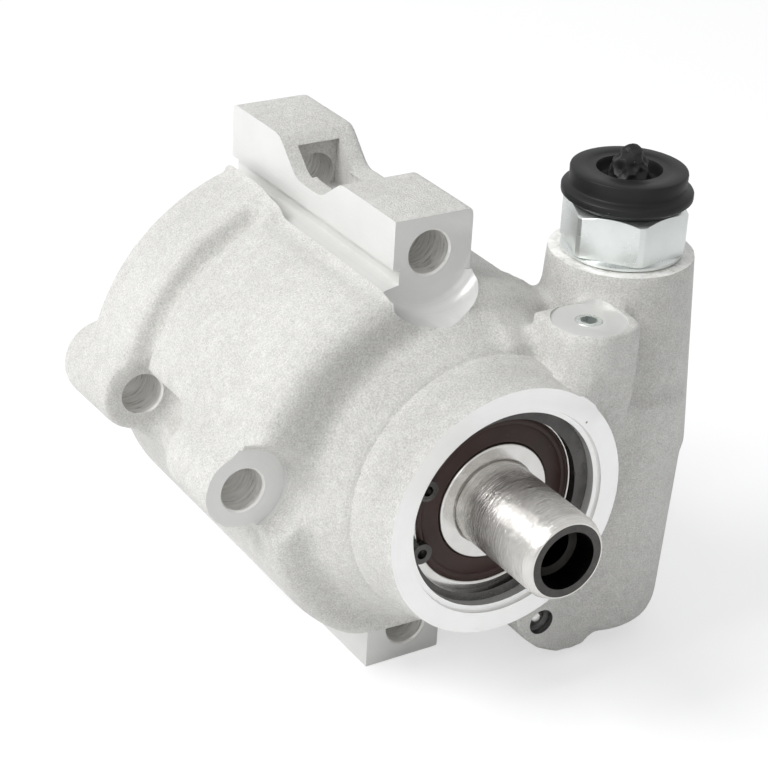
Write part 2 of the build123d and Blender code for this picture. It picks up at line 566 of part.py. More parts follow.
def drive_shaft():
    """Ground steel shaft with a lead-in tip, a puller thread bore and a splined tail."""
    tail_groove = ROTOR_END + 0.3
    shaft = turned([(0, SHAFT_TIP), (TIP_RADIUS, SHAFT_TIP, 0.5),
                    (SHAFT_RADIUS, SHAFT_TIP + TIP_LENGTH, 1.2),
                    (SHAFT_RADIUS, BEARING_FACE - RELIEF_WIDTH),
                    (SHAFT_RADIUS - 0.3, BEARING_FACE - RELIEF_WIDTH),
                    (SHAFT_RADIUS - 0.3, BEARING_FACE), (SHAFT_RADIUS, BEARING_FACE),
                    (SHAFT_RADIUS, BEARING_END), (SHAFT_RADIUS + 1.6, BEARING_END),
                    (SHAFT_RADIUS + 1.6, BEARING_END + 0.9), (SEAL_JOURNAL_RADIUS, BEARING_END + 0.9),
                    (SEAL_JOURNAL_RADIUS, BUSH_START - 1), (BUSH_JOURNAL_RADIUS, BUSH_START - 0.5),
                    (BUSH_JOURNAL_RADIUS, THRUST_END - 1), (SPLINE_ROOT, THRUST_END - 0.4),
                    (SPLINE_ROOT, tail_groove), (SPLINE_ROOT - 0.7, tail_groove),
                    (SPLINE_ROOT - 0.7, tail_groove + 1.2), (SPLINE_ROOT, tail_groove + 1.2),
                    (SPLINE_ROOT, tail_groove + 2.2, 0.4), (0, tail_groove + 2.2)])
    shaft += spline_rod(SPLINE_ROOT - 0.1, SPLINE_TIP, THRUST_END - 0.5, tail_groove)
    mouth = SHAFT_BORE_MOUTH
    bottom = SHAFT_TIP + SHAFT_BORE_DEPTH
    return shaft - turned([(0, SHAFT_TIP - 1), (mouth + 1, SHAFT_TIP - 1), (mouth, SHAFT_TIP),
                           (mouth - 0.3, SHAFT_TIP + 0.3), (mouth - 0.3, SHAFT_TIP + 5),
                           (SHAFT_BORE_RADIUS, SHAFT_TIP + 5.6),
                           (SHAFT_BORE_RADIUS, bottom), (0, bottom + 2.4)])


def ball_groove():
    """Ring-shaped cutter that leaves running room around the balls."""
    face = Pos(BALL_CIRCLE, BALL_DEPTH) * Circle(BALL_RADIUS + RUNNING_GAP)
    return revolve(face, Axis.Y)


def bearing_outer_ring():
    """Outer ring of the ball bearing, seated in the nose."""
    return ring(BEARING_RADIUS, OUTER_RING_INNER, BEARING_FACE, BEARING_END, 0.5) - ball_groove()


def bearing_inner_ring():
    """Inner ring, pressed on the shaft."""
    body = ring(INNER_RING_RADIUS, SHAFT_RADIUS, BEARING_FACE, BEARING_END, 0.4)
    return body - ball_groove()


def bearing_balls():
    """The bearing's balls as separate spheres."""
    balls = []
    for index in range(BEARING_BALLS):
        angle = 2 * pi * index / BEARING_BALLS
        place = Pos(BALL_CIRCLE * cos(angle), BALL_DEPTH, BALL_CIRCLE * sin(angle))
        balls.append(place * Sphere(BALL_RADIUS))
    return Compound(children=balls)


def bearing_cage():
    """Pressed cage that keeps the balls apart."""
    half = 1.7
    cage = ring(BALL_CIRCLE + 1.1, BALL_CIRCLE - 1.1, BALL_DEPTH - half, BALL_DEPTH + half)
    for index in range(BEARING_BALLS):
        angle = 2 * pi * index / BEARING_BALLS
        place = Pos(BALL_CIRCLE * cos(angle), BALL_DEPTH, BALL_CIRCLE * sin(angle))
        cage -= place * Sphere(BALL_RADIUS + RUNNING_GAP)
    return cage


def bearing_seal(start):
    """Moulded contact seal between the rings."""
    return ring(OUTER_RING_INNER - SLIP_GAP, INNER_RING_RADIUS + RUNNING_GAP, start, start + 0.9, 0.2)


def bearing_front_seal():
    """Seal on the side that shows in the nose."""
    return bearing_seal(BEARING_FACE + 0.45)


def bearing_rear_seal():
    """Seal on the side of the shaft's lip seal."""
    return bearing_seal(BEARING_END - 1.35)


def bearing_circlip():
    """Internal circlip with a gap at the left and two lugs with plier holes."""
    start = BEARING_FACE - CIRCLIP_THICKNESS - 0.05
    end = BEARING_FACE - 0.05
    inner = CIRCLIP_RIM - CIRCLIP_BAND
    band = rod((0, 0), CIRCLIP_RIM, start, end) - rod((-1.0, -0.1), inner + 0.6, start - 1, end + 1)
    gap_half = 17.0
    reach = 2 * CIRCLIP_RIM
    middle = radians(178)
    corner = [(reach * cos(middle + radians(gap_half) * side),
               reach * sin(middle + radians(gap_half) * side)) for side in (-1, 1)]
    clip = band - along_shaft([(0, 0), corner[0], corner[1]], start - 1, end + 1)
    ear_radius = 2.1
    for side in (-1, 1):
        angle = middle + radians(gap_half + 5.0) * side
        centre = ((CIRCLIP_RIM - ear_radius - 1.2) * cos(angle),
                  (CIRCLIP_RIM - ear_radius - 1.2) * sin(angle))
        clip += rod(centre, ear_radius, start, end)
        clip -= rod(centre, 1.0, start - 1, end + 1)
    return clip


def shaft_lip_seal():
    """Rubber lip seal behind the bearing."""
    start = BEARING_END + 1.2
    lip = SEAL_JOURNAL_RADIUS + RUNNING_GAP
    return turned([(SEAL_BORE_RADIUS, start, 0.3), (SEAL_BORE_RADIUS, SEAL_END, 0.3),
                   (SEAL_BORE_RADIUS - 1.4, SEAL_END), (SEAL_BORE_RADIUS - 1.4, start + 1.6, 0.5),
                   (lip + 1.8, start + 1.6, 0.5), (lip + 1.4, start + 3.6), (lip, start + 4.2),
                   (lip + 0.3, start)])


def shaft_bush():
    """Plain bush in the rear wall of the casting."""
    return ring(BUSH_JOURNAL_RADIUS + BUSH_WALL, BUSH_JOURNAL_RADIUS + RUNNING_GAP,
                BUSH_START + 0.3, CAVITY_FLOOR, 0.2)


def dowel_places():
    """x, z of the two dowel pins, on a line clear of the cam's long axis."""
    angle = radians(62)
    x, z = DOWEL_CIRCLE * cos(angle), DOWEL_CIRCLE * sin(angle)
    return [(x, z), (-x, -z)]


def cut_dowels(body, start, end):
    """Cut the two dowel holes through a plate."""
    for place in dowel_places():
        body -= rod(place, DOWEL_RADIUS + SLIP_GAP, start - 1, end + 1)
    return body


def kidney(start_angle, sweep, inner, outer, start, end):
    """Kidney-shaped port cutter along the shaft."""
    def at(radius, share):
        angle = radians(start_angle + sweep * share)
        return (radius * cos(angle), radius * sin(angle))

    outline = make_face([ThreePointArc(at(outer, 0), at(outer, 0.5), at(outer, 1)),
                         Line(at(outer, 1), at(inner, 1)),
                         ThreePointArc(at(inner, 1), at(inner, 0.5), at(inner, 0)),
                         Line(at(inner, 0), at(outer, 0))])
    plane = Plane(origin=(0, end, 0), x_dir=(1, 0, 0), z_dir=(0, -1, 0))
    return extrude(plane * outline, end - start)


def thrust_plate():
    """Plate in front of the rotor with two inlet notches and two outlet kidneys."""
    plate = ring(CAVITY_RADIUS - SLIP_GAP, BUSH_JOURNAL_RADIUS + 0.6, CAVITY_FLOOR, THRUST_END, 0.3)
    for angle in (-20, 160):
        plate -= kidney(angle, 40, ROTOR_RADIUS - 3, CAM_MAJOR, CAVITY_FLOOR - 1, THRUST_END + 1)
    for angle in (100, 280):
        plate -= kidney(angle, 30, ROTOR_RADIUS - 3, CAM_MINOR, THRUST_END - 2, THRUST_END + 1)
    return cut_dowels(plate, CAVITY_FLOOR, THRUST_END)


def cam_ring():
    """Ring with the oval track that the vanes follow."""
    plane = Plane(origin=(0, ROTOR_END, 0), x_dir=(1, 0, 0), z_dir=(0, -1, 0))
    track = extrude(plane * Ellipse(CAM_MAJOR, CAM_MINOR), ROTOR_WIDTH)
    body = rod((0, 0), CAM_RADIUS, THRUST_END, ROTOR_END) - track
    return cut_dowels(body, THRUST_END, ROTOR_END)


def vane_angle(index):
    """Angle of one vane; the set starts half a pitch off the long axis."""
    return 360 / VANES * (index + 0.5)


def rotor():
    """Slotted rotor with a splined bore."""
    start = THRUST_END + RUNNING_GAP
    end = ROTOR_END - RUNNING_GAP
    body = rod((0, 0), ROTOR_RADIUS, start, end)
    body -= spline_rod(SPLINE_ROOT + 0.05, SPLINE_TIP + 0.05, start - 1, end + 1)
    half = VANE_THICKNESS / 2 + RUNNING_GAP
    floor = ROTOR_RADIUS - SLOT_DEPTH
    for index in range(VANES):
        slot = block(floor, ROTOR_RADIUS + 2, start - 1, end + 1, -half, half)
        slot += rod((floor, 0), 1.3, start - 1, end + 1)
        body -= slot.rotate(Axis.Y, -vane_angle(index))
    return body


def vane(index):
    """One hard steel vane with a rounded tip, resting just inside the short track radius."""
    tip = CAM_MINOR - RUNNING_GAP
    half = VANE_THICKNESS / 2
    points = [(tip - VANE_LENGTH, -half), (tip - 0.4, -half), (tip, -half + 0.5),
              (tip, half - 0.5), (tip - 0.4, half), (tip - VANE_LENGTH, half)]
    piece = along_shaft(points, THRUST_END + RUNNING_GAP, ROTOR_END - RUNNING_GAP)
    return piece.rotate(Axis.Y, -vane_angle(index))


def pressure_plate():
    """Rear plate, pushed on the cam ring by its spring."""
    plate = ring(CAVITY_RADIUS - SLIP_GAP, SPLINE_ROOT + 1.6, ROTOR_END, PLATE_END, 0.4)
    plate -= turned([(0, ROTOR_END - 1), (SPLINE_TIP + 2.2, ROTOR_END - 1),
                     (SPLINE_TIP + 2.2, ROTOR_END + 3.2), (0, ROTOR_END + 3.2)])
    for angle in (100, 280):
        plate -= kidney(angle, 30, ROTOR_RADIUS - 3, CAM_MINOR, ROTOR_END - 1, PLATE_END + 1)
    groove_start = ROTOR_END + O_RING_GROOVE + 0.1
    groove = ring(CAVITY_RADIUS + 1, CAVITY_RADIUS - O_RING_DEPTH - 0.1,
                  groove_start, groove_start + O_RING_GROOVE)
    return cut_dowels(plate - groove, ROTOR_END, PLATE_END)


def o_ring(rim, start):
    """Rubber ring squeezed between a groove floor and a bore."""
    return ring(rim, rim - O_RING_DEPTH, start, start + O_RING_WIDTH, O_RING_DEPTH * 0.3)


def pressure_plate_o_ring():
    """Seal around the pressure plate."""
    return o_ring(CAVITY_RADIUS - 0.02, ROTOR_END + O_RING_GROOVE + 0.2)


def end_cover_o_ring():
    """Seal around the end cover."""
    return o_ring(CAVITY_RADIUS - 0.02, SPRING_END + COVER_LIP + 0.1)


def pressure_plate_spring():
    """Waved ring spring between the pressure plate and the end cover, drawn as a coned ring."""
    wide, narrow, gauge = 20.0, 13.0, 0.9
    return turned([(narrow, SPRING_END - gauge), (narrow, SPRING_END), (narrow + 1.5, SPRING_END),
                   (wide, PLATE_END + gauge), (wide, PLATE_END), (wide - 1.5, PLATE_END)])


def dowel_pins():
    """Two pins that line up the plates and the cam ring."""
    pins = []
    for x, z in dowel_places():
        pins.append(turned([(0, CAVITY_FLOOR + 0.4), (DOWEL_RADIUS, CAVITY_FLOOR + 0.4, 0.3),
                            (DOWEL_RADIUS, PLATE_END - 0.6, 0.3), (0, PLATE_END - 0.6)], x, z))
    return Compound(children=pins)


def end_cover():
    """Dished steel cover that closes the pump at the rear."""
    cover = turned([(0, SPRING_END + COVER_LIP), (11, SPRING_END + COVER_LIP, 1.0), (12.4, SPRING_END, 1.0),
                    (CAVITY_RADIUS - SLIP_GAP, SPRING_END, 0.5),
                    (CAVITY_RADIUS - SLIP_GAP, COVER_END, 0.8), (14, COVER_END, 1.0),
                    (12.5, COVER_END - COVER_LIP, 1.0), (0, COVER_END - COVER_LIP)])
    groove_start = SPRING_END + COVER_LIP
    return cover - ring(CAVITY_RADIUS + 1, CAVITY_RADIUS - O_RING_DEPTH - 0.1,
                        groove_start, groove_start + O_RING_GROOVE)


def end_cover_ring():
    """Spring wire ring that keeps the end cover in."""
    band = ring(COVER_RING_RIM - 0.05, COVER_RING_RIM - 2.6, COVER_END + 0.02, RING_END, 0.4)
    return band - block(COVER_RING_RIM - 6, COVER_RING_RIM + 2, COVER_END - 1, RING_END + 1, -3, 3)


def rotor_ring():
    """Small snap ring that keeps the rotor on the shaft."""
    start = ROTOR_END + 0.35
    band = ring(SPLINE_ROOT + 1.3, SPLINE_ROOT - 0.65, start, start + 1.1)
    return band - block(0, SPLINE_TIP + 4, start - 1, start + 2, -1.2, 1.2)


def outlet_union():
    """Plated hex union screwed into the top of the valve barrel."""
    x, y = VALVE_AXIS
    stem = PORT_THREAD_RADIUS - UNION_STEM_GAP
    corner = HEX_FLATS / sqrt(3)
    groove_top = VALVE_TOP - UNION_GROOVE_DROP
    groove_floor = stem - O_RING_DEPTH + 0.1
    blank = turned_upright([(0, STEM_END), (stem - 0.8, STEM_END), (stem, STEM_END + 0.8),
                            (stem, groove_top - O_RING_GROOVE), (groove_floor, groove_top - O_RING_GROOVE),
                            (groove_floor, groove_top), (stem, groove_top), (stem, VALVE_TOP),
                            (HEX_FLATS / 2 + 0.5, VALVE_TOP), (HEX_FLATS / 2 + 0.9, VALVE_TOP + 0.4),
                            (HEX_FLATS / 2 + 0.9, VALVE_TOP + 0.8), (HEX_FLATS / 2, HEX_BOTTOM),
                            (0, HEX_BOTTOM)])
    prism = Rot(0, 0, HEX_TURN) * extrude(RegularPolygon(corner, 6), HEX_HEIGHT)
    chamfered = turned_upright([(0, HEX_BOTTOM), (corner + 0.3, HEX_BOTTOM),
                                (corner + 0.3, HEX_TOP - 1.6), (HEX_FLATS / 2 - 0.4, HEX_TOP),
                                (0, HEX_TOP)])
    union = blank + (Pos(0, 0, HEX_BOTTOM) * prism & chamfered)
    floor = HEX_TOP - UNION_MOUTH_DEPTH
    union -= turned_upright([(0, STEM_END - 1), (UNION_ORIFICE + 2.4, STEM_END - 1),
                             (UNION_ORIFICE + 2.4, STEM_END + 4), (UNION_ORIFICE, STEM_END + 5),
                             (UNION_ORIFICE, floor - 1.6), (UNION_MOUTH - 1.2, floor),
                             (UNION_MOUTH, floor), (UNION_MOUTH, HEX_TOP - 1.4),
                             (UNION_MOUTH + 1.5, HEX_TOP + 0.1), (0, HEX_TOP + 0.1)])
    return Pos(x, y, 0) * union


def union_o_ring():
    """Rubber ring in the union's groove."""
    rim = PORT_THREAD_RADIUS - 0.02
    inner = rim - O_RING_DEPTH + 0.15
    top = VALVE_TOP - UNION_GROOVE_DROP - 0.1
    edge = O_RING_DEPTH * 0.25
    return turned_upright([(inner, top - O_RING_WIDTH, edge), (rim, top - O_RING_WIDTH, edge),
                           (rim, top, edge), (inner, top, edge)], VALVE_AXIS[0], VALVE_AXIS[1])


def shipping_plug():
    """Rubber plug pushed into the union, with a lipped flange, a dished top and a torn nub."""
    top = PLUG_TOP
    rim = PLUG_TOP_RADIUS
    floor = top - PLUG_DISH_DEPTH
    shoulder = HEX_TOP + PLUG_GAP
    shank = UNION_MOUTH - PLUG_GAP
    body = turned_upright([(0, floor), (PLUG_DISH_FLOOR, floor, 0.6), (PLUG_DISH_RADIUS, top - 0.3, 0.5),
                           (rim - 0.6, top, 0.6), (rim, top - 1.4, 0.8), (rim - 1.0, top - 2.9, 0.5),
                           (PLUG_FLANGE_RADIUS, top - 3.9, 0.7),
                           (PLUG_FLANGE_RADIUS - 0.2, shoulder + 0.9, 0.8),
                           (PLUG_FLANGE_RADIUS - 2.0, shoulder, 0.3), (UNION_MOUTH + 1.0, shoulder),
                           (shank, HEX_TOP - 1.1), (shank, HEX_TOP - PLUG_SHANK + 1.5),
                           (shank - 1.2, HEX_TOP - PLUG_SHANK), (PLUG_HOLLOW, HEX_TOP - PLUG_SHANK),
                           (PLUG_HOLLOW, HEX_TOP - 1.0, 0.5), (0, HEX_TOP - 1.0)])
    nub = turned_upright([(0, floor - 0.5), (NUB_RADIUS, floor - 0.5), (NUB_RADIUS - 0.3, floor + 1.8, 0.8),
                          (NUB_RADIUS * 0.62, NUB_TOP - 2.2, 0.8), (0.6, NUB_TOP, 0.5), (0, NUB_TOP)])
    return Pos(VALVE_AXIS[0], VALVE_AXIS[1], 0) * (body + nub)


def flow_valve_spool():
    """Hollow spool of the flow valve, with a spring pocket below and a relief bore on top."""
    land = VALVE_BORE_RADIUS - RUNNING_GAP
    waist = land - 1.8
    low, high = SPOOL_BOTTOM, SPOOL_TOP
    pocket_top = SPOOL_TOP - RELIEF_FLOOR - 2.5
    body = turned_upright([(0, low), (land, low, 0.3), (land, low + 9), (waist, low + 9.6),
                           (waist, low + 14), (land, low + 14.6), (land, high - 8),
                           (waist + 0.8, high - 7.6), (waist + 0.8, high - 5), (land, high - 4.6),
                           (land, high - 1.5), (land - 1.2, high), (0, high)])
    body -= turned_upright([(0, low - 1), (SPOOL_POCKET, low - 1), (SPOOL_POCKET, pocket_top, 0.6),
                            (0, pocket_top)])
    body -= turned_upright([(0, RELIEF_BORE_END), (RELIEF_BORE, RELIEF_BORE_END, 0.3),
                            (RELIEF_BORE, high + 1), (0, high + 1)])
    body -= sideways((0, low + 11.8), 0.9, -land, land)
    return Pos(VALVE_AXIS[0], VALVE_AXIS[1], 0) * body


def relief_seat():
    """Screwed seat at the top of the spool."""
    rim = RELIEF_BORE - SLIP_GAP
    return turned_upright([(RELIEF_SEAT_HOLE, RELIEF_SEAT_END), (rim, RELIEF_SEAT_END, 0.3),
                           (rim, SPOOL_TOP - 0.2, 0.3), (RELIEF_SEAT_HOLE + 0.9, SPOOL_TOP - 0.2),
                           (RELIEF_SEAT_HOLE, SPOOL_TOP - 1.2)], VALVE_AXIS[0], VALVE_AXIS[1])


def ball_height():
    """Centre of the relief ball when it touches its seat."""
    drop = sqrt((RELIEF_BALL + RUNNING_GAP) ** 2 - RELIEF_SEAT_HOLE ** 2)
    return RELIEF_SEAT_END - drop


def relief_ball():
    """Ball that the relief spring holds on the seat."""
    return Pos(VALVE_AXIS[0], VALVE_AXIS[1], ball_height()) * Sphere(RELIEF_BALL)


def relief_guide():
    """Follower between the relief ball and its spring."""
    top = ball_height() - RELIEF_BALL + 0.5
    rim = RELIEF_BORE - 0.15
    body = turned_upright([(0, top - 2.6), (0.9, top - 2.6), (0.9, top - 1.1), (rim, top - 1.1),
                           (rim, top, 0.2), (0, top)], VALVE_AXIS[0], VALVE_AXIS[1])
    cup = Pos(VALVE_AXIS[0], VALVE_AXIS[1], ball_height()) * Sphere(RELIEF_BALL + 0.01)
    return body - cup


def coil_spring(radius, wire, turns, bottom, top):
    """Upright coil spring on the valve axis."""
    pitch = (top - bottom - 2 * wire) / turns
    path = Helix(pitch=pitch, height=pitch * turns, radius=radius)
    start = path @ 0
    face = Plane(origin=start, z_dir=path % 0) * Circle(wire)
    coil = sweep(face, path=path)
    return Pos(VALVE_AXIS[0], VALVE_AXIS[1], bottom + wire) * coil


def flow_valve_spring():
    """Main spring under the spool."""
    top = SPOOL_TOP - RELIEF_FLOOR - 2.5
    return coil_spring(SPRING_RADIUS, SPRING_WIRE, SPRING_TURNS, VALVE_BORE_FLOOR + 0.1, top - 0.1)


def relief_spring():
    """Small spring under the relief follower."""
    top = ball_height() - RELIEF_BALL + 0.5 - 1.1
    return coil_spring(2.2, 0.35, 4, RELIEF_BORE_END + 0.05, top - 0.05)


def upper_passage_plug():
    """Screw plug with a hex socket in the flat-topped boss."""
    plug = turned_upright([(0, PLUG_BOSS_TOP - UPPER_PLUG_LENGTH - 0.3),
                           (UPPER_PLUG_RADIUS, PLUG_BOSS_TOP - UPPER_PLUG_LENGTH - 0.3, 0.3),
                           (UPPER_PLUG_RADIUS, PLUG_BOSS_TOP - 0.3, 0.3), (0, PLUG_BOSS_TOP - 0.3)])
    socket = extrude(RegularPolygon(1.75, 6), 3)
    plug -= Pos(0, 0, PLUG_BOSS_TOP - 3) * socket
    return Pos(PLUG_BOSS_AXIS[0], PLUG_BOSS_AXIS[1], 0) * plug


def lower_passage_ball():
    """Steel ball that closes the drilled passage in the lobe."""
    return Pos(LOBE_HOLE[0], LOBE_FACE + 3.2, LOBE_HOLE[1]) * Sphere(LOBE_HOLE_RADIUS - 0.02)


PIECES = {
    "pump_housing": pump_housing,
    "drive_shaft": drive_shaft,
    "bearing_outer_ring": bearing_outer_ring,
    "bearing_inner_ring": bearing_inner_ring,
    "bearing_balls": bearing_balls,
    "bearing_cage": bearing_cage,
    "bearing_front_seal": bearing_front_seal,
    "bearing_rear_seal": bearing_rear_seal,
    "bearing_circlip": bearing_circlip,
    "shaft_lip_seal": shaft_lip_seal,
    "shaft_bush": shaft_bush,
    "thrust_plate": thrust_plate,
    "cam_ring": cam_ring,
    "rotor": rotor,
    "pressure_plate": pressure_plate,
    "pressure_plate_o_ring": pressure_plate_o_ring,
    "pressure_plate_spring": pressure_plate_spring,
    "dowel_pins": dowel_pins,
    "end_cover": end_cover,
    "end_cover_o_ring": end_cover_o_ring,
    "end_cover_ring": end_cover_ring,
    "rotor_ring": rotor_ring,
    "outlet_union": outlet_union,
    "union_o_ring": union_o_ring,
    "shipping_plug": shipping_plug,
    "flow_valve_spool": flow_valve_spool,
    "flow_valve_spring": flow_valve_spring,
    "relief_seat": relief_seat,
    "relief_ball": relief_ball,
    "relief_guide": relief_guide,
    "relief_spring": relief_spring,
    "upper_passage_plug": upper_passage_plug,
    "lower_passage_ball": lower_passage_ball,
}

for name, build in PIECES.items():
    export_step(build(), f"parts/{name}.step")
for number in range(VANES):
    export_step(vane(number), f"parts/vane_{number + 1}.step")
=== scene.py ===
import json
from math import cos, pi, radians, sin

import bpy
from mathutils import Matrix, Vector


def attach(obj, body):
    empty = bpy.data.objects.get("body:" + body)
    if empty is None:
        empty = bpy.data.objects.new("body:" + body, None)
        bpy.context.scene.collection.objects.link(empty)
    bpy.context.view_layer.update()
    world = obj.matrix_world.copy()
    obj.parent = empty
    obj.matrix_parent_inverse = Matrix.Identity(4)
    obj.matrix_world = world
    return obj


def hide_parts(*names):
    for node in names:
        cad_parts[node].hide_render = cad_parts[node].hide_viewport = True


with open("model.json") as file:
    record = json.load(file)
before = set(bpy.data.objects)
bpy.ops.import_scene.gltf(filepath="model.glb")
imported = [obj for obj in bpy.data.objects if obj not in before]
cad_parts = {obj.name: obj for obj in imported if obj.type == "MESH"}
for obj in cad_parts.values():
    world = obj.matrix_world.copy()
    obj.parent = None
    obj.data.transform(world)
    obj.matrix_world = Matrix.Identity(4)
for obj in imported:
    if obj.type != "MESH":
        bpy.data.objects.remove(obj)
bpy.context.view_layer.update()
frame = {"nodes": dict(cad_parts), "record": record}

# Studio: a pale table, a wide soft light over the left shoulder and a white room.
# The pump stands on its two feet, and the camera looks down on the drive end
# with a long lens from the front left.
MM = 0.001
REST = -45.5
TABLE_HEIGHT = REST * MM


class Wire:
    """A shader socket that takes part in plain arithmetic."""

    def __init__(self, tree, socket):
        self.tree = tree
        self.socket = socket

    def math(self, operation, *values):
        made = self.tree.nodes.new("ShaderNodeMath")
        made.operation = operation
        for slot, value in zip(made.inputs, values):
            if isinstance(value, Wire):
                self.tree.links.new(value.socket, slot)
            else:
                slot.default_value = value
        return Wire(self.tree, made.outputs[0])

    def __add__(self, other):
        return self.math("ADD", self, other)

    __radd__ = __add__

    def __sub__(self, other):
        return self.math("SUBTRACT", self, other)

    def __rsub__(self, other):
        return self.math("SUBTRACT", other, self)

    def __mul__(self, other):
        return self.math("MULTIPLY", self, other)

    __rmul__ = __mul__

    def above(self, level, width):
        """0 below the level, 1 above it, with a soft step of that width."""
        return self.math("MULTIPLY_ADD", self - level, 1 / width, 0.5).clamped()

    def clamped(self):
        made = self.math("ADD", self, 0)
        made.socket.node.use_clamp = True
        return made


class Finish:
    """A material on a Principled shader, with one way to add any node."""

    def __init__(self, name, **fixed):
        self.material = bpy.data.materials.new(name)
        self.material.use_nodes = True
        self.tree = self.material.node_tree
        self.shader = self.tree.nodes["Principled BSDF"]
        for socket, value in fixed.items():
            self.shader.inputs[socket.replace("_", " ")].default_value = value
        self.place = self.node("ShaderNodeTexCoord", output="Object")

    def node(self, kind, settings=None, inputs=None, output=0):
        made = self.tree.nodes.new(kind)
        for name, value in (settings or {}).items():
            setattr(made, name, value)
        for name, value in (inputs or {}).items():
            if isinstance(value, Wire):
                self.tree.links.new(value.socket, made.inputs[name])
            else:
                made.inputs[name].default_value = value
        return Wire(self.tree, made.outputs[output])

    def feed(self, **sockets):
        for name, wire in sockets.items():
            self.tree.links.new(wire.socket, self.shader.inputs[name.replace("_", " ")])

    def noise(self, scale, detail=3.0, stretch=(1, 1, 1), roughness=0.55):
        """Noise around 0.5 with that many lumps a metre, drawn out along the axes."""
        where = self.place
        if stretch != (1, 1, 1):
            where = self.node("ShaderNodeVectorMath", {"operation": "MULTIPLY"},
                              {0: self.place, 1: stretch})
        return self.node("ShaderNodeTexNoise", {}, {"Vector": where, "Scale": scale,
                         "Detail": detail, "Roughness": roughness})

    def pores(self, scale, size, share):
        """Scattered small pits: in that share of the cells, a spot of that size."""
        cells = self.node("ShaderNodeTexVoronoi", {}, {"Vector": self.place, "Scale": scale})
        colour = Wire(self.tree, cells.socket.node.outputs["Color"])
        chance = self.node("ShaderNodeSeparateColor", {}, {"Color": colour})
        soft_edge = size * 0.3
        sharp_edge = 0.01
        return (size - cells).above(0, soft_edge) * (chance - (1 - share)).above(0, sharp_edge)

    def mix(self, amount, base, other):
        """Base where the amount is 0, the other colour where it is 1."""
        return self.node("ShaderNodeMix", {"data_type": "RGBA"}, {0: amount, 6: base, 7: other},
                         output=2)

    def shade(self, amount, dark, light):
        """Colour between dark and light."""
        return self.mix(amount, (*dark, 1), (*light, 1))

    def bump(self, height, distance, strength=1.0):
        return self.node("ShaderNodeBump", {}, {"Height": height, "Distance": distance,
                         "Strength": strength})


CAMERA_PLACE = (-210.51 * MM, -281.99 * MM, 205.40 * MM)
CAMERA_AZIMUTH = radians(-32.80)
CAMERA_ELEVATION = radians(27.17)
CAMERA_ROLL = radians(3.25)
LENS = 103.1
back = Vector((sin(CAMERA_AZIMUTH) * cos(CAMERA_ELEVATION),
               -cos(CAMERA_AZIMUTH) * cos(CAMERA_ELEVATION), sin(CAMERA_ELEVATION)))
level = Vector((cos(CAMERA_AZIMUTH), sin(CAMERA_AZIMUTH), 0))
upright = back.cross(level)
right = cos(CAMERA_ROLL) * level + sin(CAMERA_ROLL) * upright
top = cos(CAMERA_ROLL) * upright - sin(CAMERA_ROLL) * level
camera = bpy.data.objects.new("camera", bpy.data.cameras.new("camera"))
bpy.context.scene.collection.objects.link(camera)
turn = Matrix((right, top, back)).transposed().to_4x4()
camera.matrix_world = Matrix.Translation(CAMERA_PLACE) @ turn
camera.data.sensor_width = 36
camera.data.lens = LENS
camera.data.clip_start = 0.01
bpy.context.scene.camera = camera
bpy.context.scene.view_settings.view_transform = "Standard"

LIGHT_FROM = (-0.50, 0.42, 0.84)
LIGHT_RISE = 0.42
LIGHT_MIDDLE = 0.38
world = bpy.data.worlds.new("room")
bpy.context.scene.world = world
world.use_nodes = True
room = world.node_tree
looking = room.nodes.new("ShaderNodeTexCoord")
towards = room.nodes.new("ShaderNodeVectorMath")
towards.operation = "DOT_PRODUCT"
towards.inputs[1].default_value = Vector(LIGHT_FROM).normalized()
room.links.new(looking.outputs["Generated"], towards.inputs[0])
level_of_light = Wire(room, towards.outputs["Value"]) * LIGHT_RISE + LIGHT_MIDDLE
dim = room.nodes["Background"]
dim.inputs["Color"].default_value = (0.98, 0.99, 1.0, 1)
room.links.new(level_of_light.socket, dim.inputs["Strength"])
white = room.nodes.new("ShaderNodeBackground")
white.inputs["Strength"].default_value = 1.0
rays = room.nodes.new("ShaderNodeLightPath")
either = room.nodes.new("ShaderNodeMixShader")
shown = (Wire(room, rays.outputs["Is Camera Ray"]) + Wire(room, rays.outputs["Is Glossy Ray"])
         + Wire(room, rays.outputs["Is Transmission Ray"])).clamped()
room.links.new(shown.socket, either.inputs[0])
room.links.new(dim.outputs[0], either.inputs[1])
room.links.new(white.outputs[0], either.inputs[2])
room.links.new(either.outputs[0], room.nodes["World Output"].inputs["Surface"])


def lamp(name, place, size, power):
    """A square soft box turned towards the middle of the pump."""
    aim = Vector((0, 35 * MM, 0))
    light = bpy.data.lights.new(name, "AREA")
    light.size = size
    light.energy = power
    holder = bpy.data.objects.new(name, light)
    bpy.context.scene.collection.objects.link(holder)
    holder.location = place
    holder.rotation_euler = (Vector(place) - aim).to_track_quat("Z", "Y").to_euler()


lamp("key", (-0.80, 0.10, 0.80), size=0.45, power=9.8)
lamp("fill", (-0.35, -1.0, 0.40), size=0.35, power=0.7)


def clear():
    """Nothing stays selected, in object mode."""
    bpy.ops.object.select_all(action="DESELECT")


